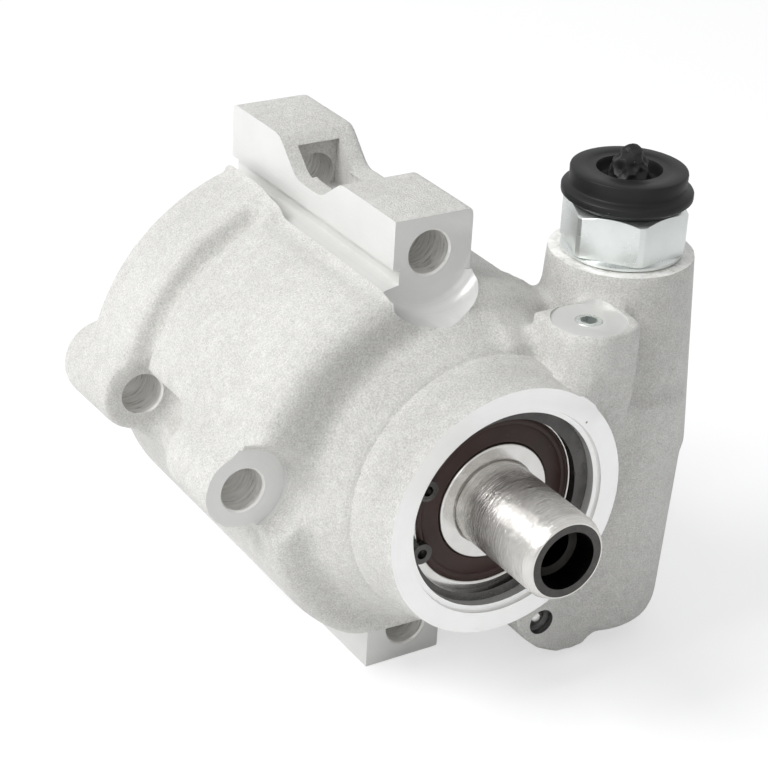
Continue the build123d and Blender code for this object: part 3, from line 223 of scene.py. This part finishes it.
TABLE_COLOUR = (0.9, 0.9, 0.9, 1)
SEEN_COLOUR = (0.46, 0.46, 0.465, 1)
SEEN_GLOW = (0.58, 0.58, 0.58, 1)
clear()
bpy.ops.mesh.primitive_plane_add(size=6, location=(0, 0, TABLE_HEIGHT))
table = bpy.context.object
table.name = "table"
cloth = Finish("table_top", Roughness=0.9, Specular_IOR_Level=0.1)
cloth.shader.inputs["Base Color"].default_value = TABLE_COLOUR
glow = cloth.node("ShaderNodeEmission", {}, {"Color": SEEN_GLOW, "Strength": 1.0})
plain = cloth.node("ShaderNodeBsdfDiffuse", {}, {"Color": SEEN_COLOUR})
seen = cloth.node("ShaderNodeAddShader", {}, {0: plain, 1: glow})
path = cloth.node("ShaderNodeLightPath", output="Is Camera Ray")
unseen = Wire(cloth.tree, cloth.shader.outputs[0])
mixed = cloth.node("ShaderNodeMixShader", {}, {0: path, 1: unseen, 2: seen})
cloth.tree.links.new(mixed.socket, cloth.tree.nodes["Material Output"].inputs["Surface"])
table.data.materials.append(cloth.material)


# Housing: one aluminium casting that holds the bearing, the pumping set and the flow valve.
# The rough shape is poured in a steel mould and left as it comes out, with soft edges and
# a fine grain. Lug faces, the nose face and every bore are then milled, turned and drilled.
TURN_TO = {"X": (0, pi / 2, 0), "Y": (-pi / 2, 0, 0), "Z": (0, 0, 0)}
AXIS = {"X": 0, "Y": 1, "Z": 2}


def pick(piece):
    """Only this piece is selected, and it is the active one."""
    clear()
    piece.select_set(True)
    bpy.context.view_layer.objects.active = piece


def finish_mesh(name, material):
    """Closes the edit and gives the piece its name and its material."""
    bpy.ops.mesh.select_all(action="SELECT")
    bpy.ops.mesh.normals_make_consistent(inside=False)
    bpy.ops.object.mode_set(mode="OBJECT")
    bpy.ops.object.transform_apply(location=True, rotation=True, scale=True)
    made = bpy.context.object
    made.name = name
    if material is not None:
        made.data.materials.append(material)
    return made


def turned(name, stations, axis="Y", x=0.0, y=0.0, z=0.0, sides=96, material=None):
    """A disc drawn out along an axis through (radius, distance) stations in millimetres."""
    index = AXIS[axis]
    along = Vector([float(number == index) for number in range(3)])
    foot = Vector((x, y, z)) * MM
    foot[index] = 0
    radius, distance = stations[0]
    clear()
    bpy.ops.mesh.primitive_circle_add(vertices=sides, radius=radius * MM, fill_type="NGON",
                                      location=foot + along * distance * MM,
                                      rotation=TURN_TO[axis])
    bpy.ops.object.mode_set(mode="EDIT")
    for next_radius, next_distance in stations[1:]:
        step = along * (next_distance - distance) * MM
        bpy.ops.mesh.extrude_region_move(TRANSFORM_OT_translate={"value": step})
        growth = [next_radius / radius] * 3
        growth[index] = 1
        bpy.ops.transform.resize(value=growth, center_override=foot + along * next_distance * MM)
        radius, distance = next_radius, next_distance
    return finish_mesh(name, material)


def slab(name, corners, axis, start, end, material=None):
    """A flat outline pulled along an axis; corners are (x, z) for Y, (y, z) for X, (x, y) for Z."""
    index = AXIS[axis]
    clear()
    bpy.ops.mesh.primitive_circle_add(vertices=len(corners), radius=MM, fill_type="NGON")
    made = bpy.context.object
    for vertex, corner in zip(made.data.vertices, corners):
        place = list(corner)
        place.insert(index, start)
        vertex.co = Vector(place) * MM
    bpy.ops.object.mode_set(mode="EDIT")
    step = [0.0, 0.0, 0.0]
    step[index] = (end - start) * MM
    bpy.ops.mesh.extrude_region_move(TRANSFORM_OT_translate={"value": step})
    return finish_mesh(name, material)


def box(name, low, high, material=None):
    """A block between two corners in millimetres."""
    outline = [(low[0], low[1]), (high[0], low[1]), (high[0], high[1]), (low[0], high[1])]
    return slab(name, outline, "Z", low[2], high[2], material)


def keep_side(piece, point, away):
    """Saws off what lies beyond a plane and closes the cut."""
    pick(piece)
    bpy.ops.object.mode_set(mode="EDIT")
    bpy.ops.mesh.select_all(action="SELECT")
    bpy.ops.mesh.bisect(plane_co=Vector(point) * MM, plane_no=away, use_fill=True,
                        clear_outer=True)
    bpy.ops.object.mode_set(mode="OBJECT")


def apply_modifier(piece, kind, **settings):
    pick(piece)
    added = piece.modifiers.new(kind.lower(), kind)
    for name, value in settings.items():
        setattr(added, name, value)
    bpy.ops.object.modifier_apply(modifier=added.name)


def joined(pieces):
    clear()
    for piece in pieces:
        piece.select_set(True)
    bpy.context.view_layer.objects.active = pieces[0]
    bpy.ops.object.join()
    return pieces[0]


def machine(piece, tools, operation="DIFFERENCE"):
    """Cuts away tools that don't overlap each other, or adds them."""
    tool = joined(tools)
    apply_modifier(piece, "BOOLEAN", operation=operation, solver="MANIFOLD",
                   material_mode="TRANSFER", object=tool)
    bpy.data.objects.remove(tool)


CAST_VOXEL = 0.72 * MM
FRONT_FACE = 25.0
REAR_FACE = 87.5
BAR_LEFT = -14.8
TOP_BOLT = (-4.4, 43.2)
LEFT_BOLT = (-42.1, 2.6)
FOOT_BOLT = (-4.4, -38.0)
BOLT_HOLE = 4.3
BOLT_CHAMFER = 0.35
VALVE = (36.6, 20.5)
ON_LEFT_BOLT = {"x": LEFT_BOLT[0], "z": LEFT_BOLT[1]}
ON_LOBE_HOLE = {"x": 18.1, "z": -35.4}
ON_SPOT = {"x": -5.4, "z": 43.7}
ON_VALVE = {"axis": "Z", "x": VALVE[0], "y": VALVE[1]}
ON_PLUG_BOSS = {"axis": "Z", "x": 19.4, "y": 6.4}
ON_INLET = {"axis": "X", "y": 60.0, "z": -12.5}

nose = turned("nose", [(24.5, -1.5), (25.9, 11.0), (27.7, 11.4), (31.2, 16.8), (32.3, 20.5)])
core = turned("core", [(34.4, 19.2), (36.6, 20.1), (37.9, 22.4), (37.9, 85.4), (37.3, 86.0)],
              x=-1.2, z=-1.0)
shell = turned("shell", [(37.4, 19.2), (39.8, 20.1), (41.0, 22.4), (41.3, 62.0), (40.6, 63.0),
                         (38.3, 64.2), (38.0, 65.0), (38.0, 66.0), (38.6, 66.7), (42.0, 67.2),
                         (42.9, 68.4), (42.9, 83.0), (42.0, 84.0)], x=-4.0, z=-1.0)
keep_side(shell, (0, 0, 7.6), (0, 0, -1))
keep_side(shell, (2.0, 0, 0), (1, 0, 0))
top_bar_side = [(22.0, 24.0), (22.0, 38.5), (24.0, 38.5), (24.0, 50.6), (44.7, 50.6),
                (51.8, 45.4), (61.2, 45.4), (68.0, 51.7), (69.4, 52.2), (REAR_FACE, 52.2),
                (REAR_FACE, 24.0)]
top_bar = slab("top_bar", top_bar_side, "X", BAR_LEFT, 5.0)
foot_bar = slab("foot_bar", [(24.0, -24.0), (24.0, REST), (46.8, REST), (52.8, -41.2),
                             (61.2, -41.2), (67.4, REST), (REAR_FACE, REST),
                             (REAR_FACE, -24.0)], "X", -14.6, 3.6)
groove_end = box("groove_end", (-17.6, 60.0, 30.0), (-12.0, 68.0, 39.0))
front_boss = turned("front_boss", [(7.7, 23.0), (7.7, 41.0), (6.5, 43.3), (4.5, 44.2)],
                    **ON_LEFT_BOLT)
rear_boss = turned("rear_boss", [(7.4, 67.4), (8.2, 68.2), (8.6, 85.5), (7.4, 87.5), (5.0, 88.5)],
                   **ON_LEFT_BOLT)
rear_web = slab("rear_web", [(-40.1, 7.6), (-44.1, -4.8), (-12.0, -35.9), (0.0, 0.0)],
                "Y", 68.0, 84.0)
front_web = slab("front_web", [(-39.1, 7.6), (-40.1, -4.7), (-24.0, -26.0), (0.0, 0.0)],
                 "Y", 27.0, 42.2)
barrel = turned("barrel", [(9.4, -42.4), (11.6, -41.7), (13.6, -39.6), (14.4, -37.0),
                           (16.0, -1.7), (16.5, -1.5), (14.1, 39.2)], **ON_VALVE)
plug_boss = slab("plug_boss", [(11.8, 14.0), (11.8, 6.4), (12.7, 2.6), (15.3, 0.0), (19.1, -1.2),
                               (26.0, -0.6), (28.0, 1.6), (29.2, 20.5), (25.4, 20.5),
                               (22.9, 14.0)], "Z", -1.5, 33.0)
keep_side(plug_boss, (0, -1.3, 27.0), (0, -0.976, -0.217))
keep_side(plug_boss, (0, 0.7, 18.0), (0, -0.951, -0.309))
web = slab("web", [(17.4, -1.5), (35.6, -1.5), (35.6, 10.8), (33.8, 12.8), (17.4, 14.8)],
           "Y", 4.6, 20.5)
pad = turned("pad", [(17.3, -1.5), (17.3, 12.8)], **ON_VALVE)
keep_side(pad, (32.6, 0, 0), (-1, 0, 0))
keep_side(pad, (44.0, 0, 0), (1, 0, 0))
keep_side(pad, (0, 20.5, 0), (0, 1, 0))
lobe = slab("lobe", [(11.4, -14.0), (11.4, -29.7), (12.5, -35.3), (14.8, -39.0), (18.4, -42.2),
                     (22.5, -44.1), (26.4, -44.7), (28.6, -44.5), (31.2, -43.0), (32.8, -40.2),
                     (33.0, -37.0), (32.4, -2.0), (17.4, -2.0)], "Y", 10.0, 26.5)
inlet = turned("inlet", [(11.0, 20.0), (10.0, 46.5)], **ON_INLET)
fairing = turned("fairing", [(29.0, 10.5), (30.2, 12.2), (37.6, 30.0)])
keep_side(fairing, (0, 0, 0), (-0.985, 0, 0.174))
keep_side(fairing, (0, 0, 6.0), (0, 0, -1))
cast_blank = joined([nose, core, shell, top_bar, foot_bar, groove_end, front_boss, rear_boss,
                     rear_web, front_web, barrel, plug_boss, web, pad, lobe, inlet, fairing])
cast_blank.name = "casting"
apply_modifier(cast_blank, "REMESH", mode="VOXEL", voxel_size=CAST_VOXEL)
machine(cast_blank, [turned("rear_scoop", [(7.6, 47.0), (7.6, 67.2)], **ON_LEFT_BOLT)])
strip = [(BAR_LEFT, 37.3), (-24.0, 36.6), (-24.0, 46.0), (BAR_LEFT, 46.0)]
machine(cast_blank, [turned("scoop", [(12.0, 5.0), (12.0, 17.0), (9.6, 24.4)], **ON_LEFT_BOLT),
                     slab("strip", strip, "Y", 12.0, 62.0)])

# Deep fillets: a copy that is worn down all over fills the inner corners of the sharp one.
DEEP_WEAR = 18
LIGHT_WEAR = 5
pick(cast_blank)
bpy.ops.object.duplicate()
worn = bpy.context.object
apply_modifier(worn, "REMESH", mode="VOXEL", voxel_size=CAST_VOXEL)
apply_modifier(worn, "SMOOTH", factor=0.5, iterations=DEEP_WEAR)
housing = joined([cast_blank, worn])
apply_modifier(housing, "REMESH", mode="VOXEL", voxel_size=CAST_VOXEL)
apply_modifier(housing, "SMOOTH", factor=0.5, iterations=LIGHT_WEAR)
housing.name = "housing_casting"


def cast_aluminium():
    """As-cast skin: fine sandy grain, soft clouds of grey and a few dark pores."""
    skin = Finish("cast_aluminium", Metallic=0.25)
    grain = skin.noise(3000, detail=4.0, roughness=0.75)
    lumps = skin.noise(520, detail=3.0)
    clouds = skin.noise(38, detail=4.0)
    pores = skin.pores(420, 0.055, 0.05)
    tone = clouds * 0.5 + lumps * 0.4 + grain * 1.9 - 0.87
    colour = skin.shade(tone.clamped(), (0.46, 0.45, 0.425), (0.95, 0.945, 0.92))
    skin.feed(Base_Color=skin.mix(pores * 0.6, colour, (0.2, 0.19, 0.17, 1)),
              Roughness=grain * 0.3 + 0.42,
              Normal=skin.bump(grain * 0.7 + lumps * 0.3 - pores * 0.5, 0.0006))
    return skin.material


def faced_aluminium(name, x, z, tone, metallic=0.4):
    """Face milled or turned about one centre, with fine ring marks and small pores."""
    face = Finish(name, Metallic=metallic)
    centre = face.node("ShaderNodeMapping", {}, {"Vector": face.place,
                       "Location": (-x * MM, 0, -z * MM), "Scale": (1, 0, 1)})
    radius = face.node("ShaderNodeVectorMath", {"operation": "LENGTH"}, {0: centre}, output=1)
    rings = face.node("ShaderNodeTexNoise", {"noise_dimensions": "1D"},
                      {"W": radius, "Scale": 5200, "Detail": 2.0})
    smear = face.noise(90, detail=3.0)
    pores = face.pores(430, 0.10, 0.10)
    light = [min(1.0, tone * share) for share in (1.08, 1.08, 1.06)]
    dark = [tone * share for share in (0.88, 0.88, 0.86)]
    colour = face.shade((rings * 0.5 + smear * 0.8 - 0.15).clamped(), dark, light)
    face.feed(Base_Color=face.mix(pores * 0.8, colour, (0.12, 0.11, 0.1, 1)),
              Roughness=smear * 0.2 + 0.3, Normal=face.bump(rings - pores * 2, 0.00001))
    return face.material


def drilled_aluminium(name, stretch, dark=(0.62, 0.61, 0.58), light=(1.0, 0.99, 0.97)):
    """Bore wall with the bright helical marks of the drill."""
    wall = Finish(name, Metallic=0.15)
    marks = wall.noise(1, detail=3.0, stretch=stretch)
    colour = wall.shade((marks * 1.8 - 0.4).clamped(), dark, light)
    wall.feed(Base_Color=colour, Roughness=marks * 0.25 + 0.18, Normal=wall.bump(marks, 0.00035))
    return wall.material


housing.data.materials.clear()
cast_skin = cast_aluminium()
housing.data.materials.append(cast_skin)
nose_face = faced_aluminium("nose_face", 0, 0, 0.97, 0.8)
top_face = faced_aluminium("top_lug_face", *TOP_BOLT, 0.68)
left_face = faced_aluminium("left_boss_face", *LEFT_BOLT, 0.7)
foot_face = faced_aluminium("foot_face", *FOOT_BOLT, 0.74)
FAR_AWAY = 9000
side_face = faced_aluminium("side_face", 0, FAR_AWAY, 0.74)
drilled = drilled_aluminium("drilled_bore", (260, 1500, 260))
drilled_upright = drilled_aluminium("drilled_upright_bore", (500, 500, 2600))
# Painted shade: the lobe hole wall is coloured near black, for the shade down the narrow hole.
passage = drilled_aluminium("passage_painted_shade", (500, 2600, 500), dark=(0.03, 0.03, 0.028),
                            light=(0.16, 0.155, 0.15))

# Turned collar: the outside of the nose with its two fine witness steps.
machine(housing, [turned("collar", [(25.1, -1.2), (26.0, 5.0), (26.5, 5.5), (27.4, 10.8),
                                    (27.75, 11.1), (26.5, 11.6)], sides=160, material=cast_skin)],
        "UNION")

# Milled side of the top bar with its groove and ledge, and the milled side of the feet.
ledge = [(-12.1, 57.0), (-12.1, 41.0), (-10.7, 40.7), (-10.7, 37.8), (-12.3, 37.5),
         (-15.2, 37.0), (-15.2, 57.0)]
machine(housing, [slab("ledge_cut", ledge, "Y", 12.0, 92.0, side_face),
                  box("foot_side_cut", (-60.0, 25.0, -52.0), (-13.2, 92.0, -33.5), side_face),
                  box("foot_end_cut", (-30.0, 20.0, -52.0), (30.0, 92.0, REST), foot_face)])
machine(housing, [box("foot_front_cut", (-22.0, 18.0, -53.0), (9.0, FRONT_FACE, -33.2),
                      foot_face)])
machine(housing, [turned("nose_cut", [(25.6, -6.0), (25.6, 0.0)], sides=128, material=nose_face),
                  slab("lug_cut", [(-16.0, 38.4), (9.0, 38.4), (9.0, 58.0), (-16.0, 58.0)],
                       "Y", 10.0, FRONT_FACE, top_face),
                  turned("left_cut", [(8.7, 5.0), (8.7, FRONT_FACE)], **ON_LEFT_BOLT,
                         material=left_face),
                  turned("boss_top_cut", [(7.2, 32.6), (7.2, 36.0)], **ON_PLUG_BOSS,
                         material=top_face),
                  turned("valve_top_cut", [(18.0, 38.3), (18.0, 48.0)], **ON_VALVE,
                         material=drilled_upright)])
spot = turned("spot_cut", [(12.5, 5.0), (12.5, 22.4), (12.2, 23.4), (11.5, 24.4),
                           (10.3, FRONT_FACE)], **ON_SPOT, material=top_face)
keep_side(spot, (BAR_LEFT, 0, 0), (-1, 0, 0))
machine(housing, [spot])
machine(housing, [box("rear_cut", (-70.0, REAR_FACE, -60.0), (70.0, 96.0, 60.0), foot_face)])
machine(housing, [slab("pocket", [(-9.1, 40.6), (0.3, 40.6), (0.3, 50.2), (-9.1, 50.2)],
                       "Y", 60.4, 67.5, cast_skin)])


def bolt_hole(name, bolt, start, end):
    """A drilled through hole with a small chamfer at each end."""
    wide = 4.65
    return turned(name, [(wide, start - 3.0), (wide, start), (BOLT_HOLE, start + BOLT_CHAMFER),
                         (BOLT_HOLE, end - BOLT_CHAMFER), (wide, end), (wide, end + 3.0)],
                  x=bolt[0], z=bolt[1], sides=64, material=drilled)


machine(housing, [bolt_hole("left_front_hole", LEFT_BOLT, FRONT_FACE, 44.3),
                  bolt_hole("left_rear_hole", LEFT_BOLT, 67.2, 88.5),
                  bolt_hole("top_hole", TOP_BOLT, FRONT_FACE, REAR_FACE),
                  bolt_hole("foot_hole", FOOT_BOLT, FRONT_FACE, REAR_FACE)])
bore = [(21.9, -3.0), (20.93, 0.9), (20.03, 0.9), (20.03, 2.75), (20.95, 2.75), (20.95, 4.58),
        (20.03, 4.58), (20.03, 16.6), (17.0, 16.6), (17.0, 17.8), (14.03, 17.8), (14.03, 23.8),
        (12.0, 25.3), (9.13, 28.0), (9.13, 45.0), (30.5, 45.0), (30.5, 82.0), (31.7, 82.0),
        (31.7, 83.7), (30.5, 83.7), (30.5, 85.2), (31.1, 86.0), (31.1, 96.0)]
machine(housing, [turned("bore", bore, sides=128, material=nose_face)])
machine(housing, [turned("valve_bore", [(8.0, -37.5), (8.0, 26.5), (9.95, 27.5), (9.95, 37.3),
                                        (11.15, 38.5)], **ON_VALVE, material=drilled_upright),
                  turned("plug_hole", [(1.9, 15.0), (1.9, 26.4), (2.63, 26.4), (2.63, 34.0)],
                         **ON_PLUG_BOSS, sides=48, material=drilled_upright),
                  # The lobe hole takes the near-black painted-shade wall colour.
                  turned("lobe_hole", [(2.0, 21.0), (2.0, 12.2), (2.75, 11.6), (2.75, 9.0)],
                         **ON_LOBE_HOLE, sides=48, material=passage),
                  turned("inlet_bore", [(5.2, 28.0), (5.2, 37.9), (7.2, 38.4), (7.2, 45.5),
                                        (11.5, 45.5), (11.5, 49.0)], **ON_INLET, sides=64,
                         material=drilled)])
pick(housing)
bpy.ops.object.shade_smooth_by_angle(angle=radians(38))
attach(housing, "pump")
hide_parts("pump_housing")


# Bearing seal: a steel washer moulded over with dark brown rubber, pressed into the outer ring.
# Two raised lips and a shallow channel run round it, and its inner lip wipes the inner ring.
def spun(name, profile, material):
    """A closed (radius, distance) outline turned once round the shaft axis, for rings."""
    clear()
    bpy.ops.mesh.primitive_circle_add(vertices=len(profile), radius=MM, fill_type="NOTHING")
    made = bpy.context.object
    for vertex, (radius, distance) in zip(made.data.vertices, profile):
        vertex.co = Vector((radius, distance, 0)) * MM
    bpy.ops.object.mode_set(mode="EDIT")
    bpy.ops.mesh.select_all(action="SELECT")
    bpy.ops.mesh.spin(steps=128, angle=2 * pi, center=(0, 0, 0), axis=(0, 1, 0))
    bpy.ops.mesh.select_all(action="SELECT")
    bpy.ops.mesh.remove_doubles(threshold=0.00001)
    return finish_mesh(name, material)


def settle(piece, body, node, angle=35):
    """The finished piece takes the node's place on its body."""
    pick(piece)
    bpy.ops.object.shade_smooth_by_angle(angle=radians(angle))
    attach(piece, body)
    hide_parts(node)


def rubber(name, dark, light, sheen, dust):
    """Moulded rubber: faint clouds, fine orange peel and pale dust in the pits."""
    soft = Finish(name, Metallic=0.0, Specular_IOR_Level=0.26)
    clouds = soft.noise(140, detail=4.0)
    peel = soft.noise(3800, detail=2.0)
    specks = soft.pores(900, 0.09, 0.10)
    base = soft.shade((clouds * 1.4 - 0.2).clamped(), dark, light)
    soft.feed(Base_Color=soft.mix(specks * dust, base, (0.42, 0.40, 0.37, 1)),
              Roughness=clouds * 0.2 + peel * 0.12 + sheen,
              Normal=soft.bump(peel * 0.4 + specks * 0.6, 0.00003))
    return soft.material


brown_rubber = rubber("brown_rubber", (0.030, 0.017, 0.014), (0.060, 0.034, 0.030),
                      sheen=0.22, dust=0.30)
black_rubber = rubber("black_rubber", (0.005, 0.005, 0.006), (0.013, 0.013, 0.014),
                      sheen=0.30, dust=0.25)
seal = spun("front_seal", [(16.97, 5.9), (16.97, 5.2), (16.6, 5.05), (16.2, 4.95), (15.8, 5.05),
                           (15.6, 5.2), (15.3, 5.05), (12.7, 5.05), (12.4, 4.95), (12.1, 5.0),
                           (11.95, 5.2), (11.95, 5.9)], brown_rubber)
settle(seal, "pump", "bearing_front_seal")


# Outlet union: a zinc-plated steel fitting turned from hexagon bar, with a flat collar that
# seats on the barrel, a threaded stem below it and a chamfer round the top of the hexagon.
def zinc_plate():
    """Bright zinc over turned steel: faint blue and straw stains, fine tool lines, small dents."""
    plate = Finish("zinc_plate", Metallic=0.92)
    stain = plate.noise(70, detail=4.0)
    lines = plate.noise(1, detail=3.0, stretch=(300, 300, 5200))
    grain = plate.noise(2400, detail=2.0)
    pits = plate.pores(480, 0.06, 0.10)
    base = plate.shade((stain * 1.8 - 0.4).clamped(), (0.60, 0.63, 0.62), (0.84, 0.87, 0.85))
    plate.feed(Base_Color=plate.mix(pits * 0.5, base, (0.25, 0.25, 0.24, 1)),
               Roughness=stain * 0.16 + grain * 0.12 + 0.16,
               Normal=plate.bump(lines * 0.5 + grain * 0.3 - pits, 0.00002))
    return plate.material


zinc = zinc_plate()
HEX_TURN = 9
HEX_CORNER = 12.15
CORNER_SPREAD = 2.73
hex_outline = []
for corner in range(6):
    for side in (-1, 1):
        angle = radians(HEX_TURN + 60 * corner + side * CORNER_SPREAD)
        hex_outline.append((VALVE[0] + HEX_CORNER * cos(angle),
                            VALVE[1] + HEX_CORNER * sin(angle)))
HEX_BOTTOM = 39.5
HEX_TOP = 48.3
union = slab("outlet_hex", hex_outline, "Z", HEX_BOTTOM, HEX_TOP, zinc)
machine(union, [turned("hex_chamfer", [(12.9, 39.3), (12.9, 46.9), (10.5, 48.4)], **ON_VALVE,
                       sides=144, material=zinc)], "INTERSECT")
apply_modifier(union, "BEVEL", width=0.12 * MM, segments=2, limit_method="ANGLE",
               angle_limit=radians(20))

stem_rings = [(9.1, 27.5), (9.9, 28.3), (9.9, 34.9), (8.5, 34.9), (8.5, 36.9), (9.9, 36.9),
              (9.9, 38.3), (11.2, 38.3), (11.7, 38.6), (11.7, 39.1), (10.8, 39.6)]
machine(union, [turned("union_stem", stem_rings, **ON_VALVE, sides=128, material=zinc)], "UNION")
mouth = [(5.0, 26.5), (5.0, 31.5), (2.6, 32.5), (2.6, 33.7), (7.2, 35.3), (8.4, 35.3), (8.4, 46.9),
         (9.9, 48.4), (9.9, 49.0)]
machine(union, [turned("union_mouth", mouth, **ON_VALVE, material=zinc)])
settle(union, "pump", "outlet_union", 30)


# Shipping plug: a black rubber stopper pushed into the union, with a thick rim over a wider
# flange, a dish in its top and the torn stub where it was pulled from its mould.
stopper = [(7.15, 39.3), (8.35, 40.8), (8.35, 47.2), (9.4, 48.35), (10.6, 48.35), (11.0, 48.6),
           (11.5, 49.2), (12.35, 49.6), (12.55, 49.8), (12.6, 50.1), (12.6, 50.9), (12.45, 51.15),
           (11.5, 51.5), (11.15, 51.8), (11.1, 52.2), (11.2, 52.8), (11.25, 54.5), (11.15, 54.85),
           (10.85, 55.0), (8.3, 55.0), (8.1, 54.88), (6.6, 54.88)]
plug = turned("stopper", stopper, **ON_VALVE, sides=144, material=black_rubber)
machine(plug, [turned("dish", [(4.9, 52.4), (5.6, 52.7), (6.2, 54.0), (6.5, 56.0)], **ON_VALVE,
                      material=black_rubber)])
machine(plug, [turned("hollow", [(5.95, 38.0), (5.95, 47.0), (5.4, 47.3)], **ON_VALVE,
                      material=black_rubber)])
nub = turned("nub", [(4.1, 52.0), (4.0, 53.6), (3.7, 54.8), (2.8, 56.8), (1.5, 58.4), (0.6, 59.1)],
             **ON_VALVE, sides=48, material=black_rubber)
apply_modifier(nub, "REMESH", mode="VOXEL", voxel_size=0.16 * MM)
torn = bpy.data.textures.new("torn", "VORONOI")
torn.noise_scale = 1.9 * MM
apply_modifier(nub, "DISPLACE", texture=torn, texture_coords="GLOBAL", strength=1.1 * MM,
               mid_level=0.45)
apply_modifier(plug, "BEVEL", width=0.25 * MM, segments=2, limit_method="ANGLE",
               angle_limit=radians(40))
plug = joined([plug, nub])
settle(plug, "plug", "shipping_plug", 40)


# Drive shaft: ground and polished steel, bored at its end for the pulley tool. The nose has a
# short bright cone, the end face is coloured near black as painted shade, and the tail is splined.
def round_metal(name, dark, light, polish, lines=(300, 6500, 300), metallic=1.0,
                depth=0.00003):
    """Metal turned or ground round the shaft, with fine lines, clouds and small pits."""
    metal = Finish(name, Metallic=metallic)
    tool_lines = metal.noise(1, detail=3.0, stretch=lines)
    clouds = metal.noise(110, detail=4.0)
    pits = metal.pores(650, 0.05, 0.10)
    base = metal.shade((tool_lines * 0.7 + clouds * 0.8 - 0.25).clamped(), dark, light)
    metal.feed(Base_Color=metal.mix(pits * 0.5, base, (0.08, 0.07, 0.06, 1)),
               Roughness=clouds * 0.12 + tool_lines * 0.08 + polish,
               Normal=metal.bump(tool_lines * 0.6 - pits * 0.3, depth))
    return metal.material


ground_steel = round_metal("ground_steel", (0.52, 0.505, 0.48), (0.92, 0.90, 0.87), 0.16,
                           (150, 7500, 150), depth=0.00014)
# Painted shade: the end face is coloured near black, where it turns away from the light.
end_face_shade = round_metal("end_face_painted_shade", (0.045, 0.042, 0.04), (0.12, 0.115, 0.11), 0.42,
                       (1200, 1200, 1200), 0.6)
# Painted shade: the tool bore wall is coloured near black, for the shade down the deep narrow bore.
bore_shade = round_metal("bore_painted_shade", (0.010, 0.010, 0.009), (0.05, 0.048, 0.045), 0.28,
                        (400, 2200, 400))

SPLINE_TEETH = 12
outside = [(7.62, -18.9), (7.82, -18.72), (8.46, -17.2), (8.5, -16.9), (8.5, 3.8), (8.2, 3.8),
           (8.2, 4.6), (8.5, 4.6), (8.5, 16.6), (10.1, 16.6), (10.1, 17.5), (8.0, 17.5),
           (8.0, 27.0), (7.5, 27.5), (7.5, 49.0), (6.2, 49.6), (6.2, 68.3), (5.5, 68.3),
           (5.5, 69.5), (6.2, 69.5), (6.2, 70.2), (5.9, 70.5)]
shaft = turned("shaft", outside, sides=160, material=ground_steel)
teeth = []
for tooth in range(SPLINE_TEETH):
    for radius, turn in ((6.1, -0.32), (7.1, -0.17), (7.1, 0.17), (6.1, 0.32)):
        angle = 2 * pi / SPLINE_TEETH * (tooth + turn)
        teeth.append((radius * cos(angle), radius * sin(angle)))
machine(shaft, [slab("spline", teeth, "Y", 49.5, 68.25, ground_steel)], "UNION")
# The end face takes the near-black painted-shade colour.
machine(shaft, [turned("end_shade", [(7.35, -20.0), (7.35, -18.86)], sides=160,
                       material=end_face_shade)])
# The tool bore wall takes the near-black painted-shade colour.
machine(shaft, [turned("tool_bore", [(5.95, -20.0), (5.75, -18.55), (5.65, -13.9), (4.25, -13.3),
                                     (4.25, 5.1), (0.6, 7.4)], material=bore_shade)])
settle(shaft, "shaft", "drive_shaft", 30)


# Bearing, pumping set, valve and cover: turned, ground, stamped or pressed parts, most of them
# hidden. Each keeps its drawn shape and gets the finish of its metal or rubber.
finishes = {
    "ground_steel": ground_steel,
    "bearing_steel": round_metal("bearing_steel", (0.55, 0.54, 0.52), (0.86, 0.85, 0.83),
                                 0.12),
    "spring_steel": round_metal("spring_steel", (0.035, 0.034, 0.034), (0.14, 0.135, 0.13), 0.16,
                                metallic=0.9),
    "bronze": round_metal("bronze", (0.36, 0.22, 0.10), (0.62, 0.41, 0.20), 0.22),
    "sintered_steel": round_metal("sintered_steel", (0.16, 0.155, 0.15), (0.36, 0.355, 0.345), 0.34,
                                  (900, 900, 900)),
    "zinc_plate": zinc,
    "brown_rubber": brown_rubber,
    "black_rubber": black_rubber,
    "cast_aluminium": cast_skin,
}
for part in frame["record"]["subparts"]:
    node = frame["nodes"][part["node"]]
    finish = finishes[part["material_slot"]]
    if not node.material_slots:
        node.data.materials.append(finish)
    for place in node.material_slots:
        place.material = finish
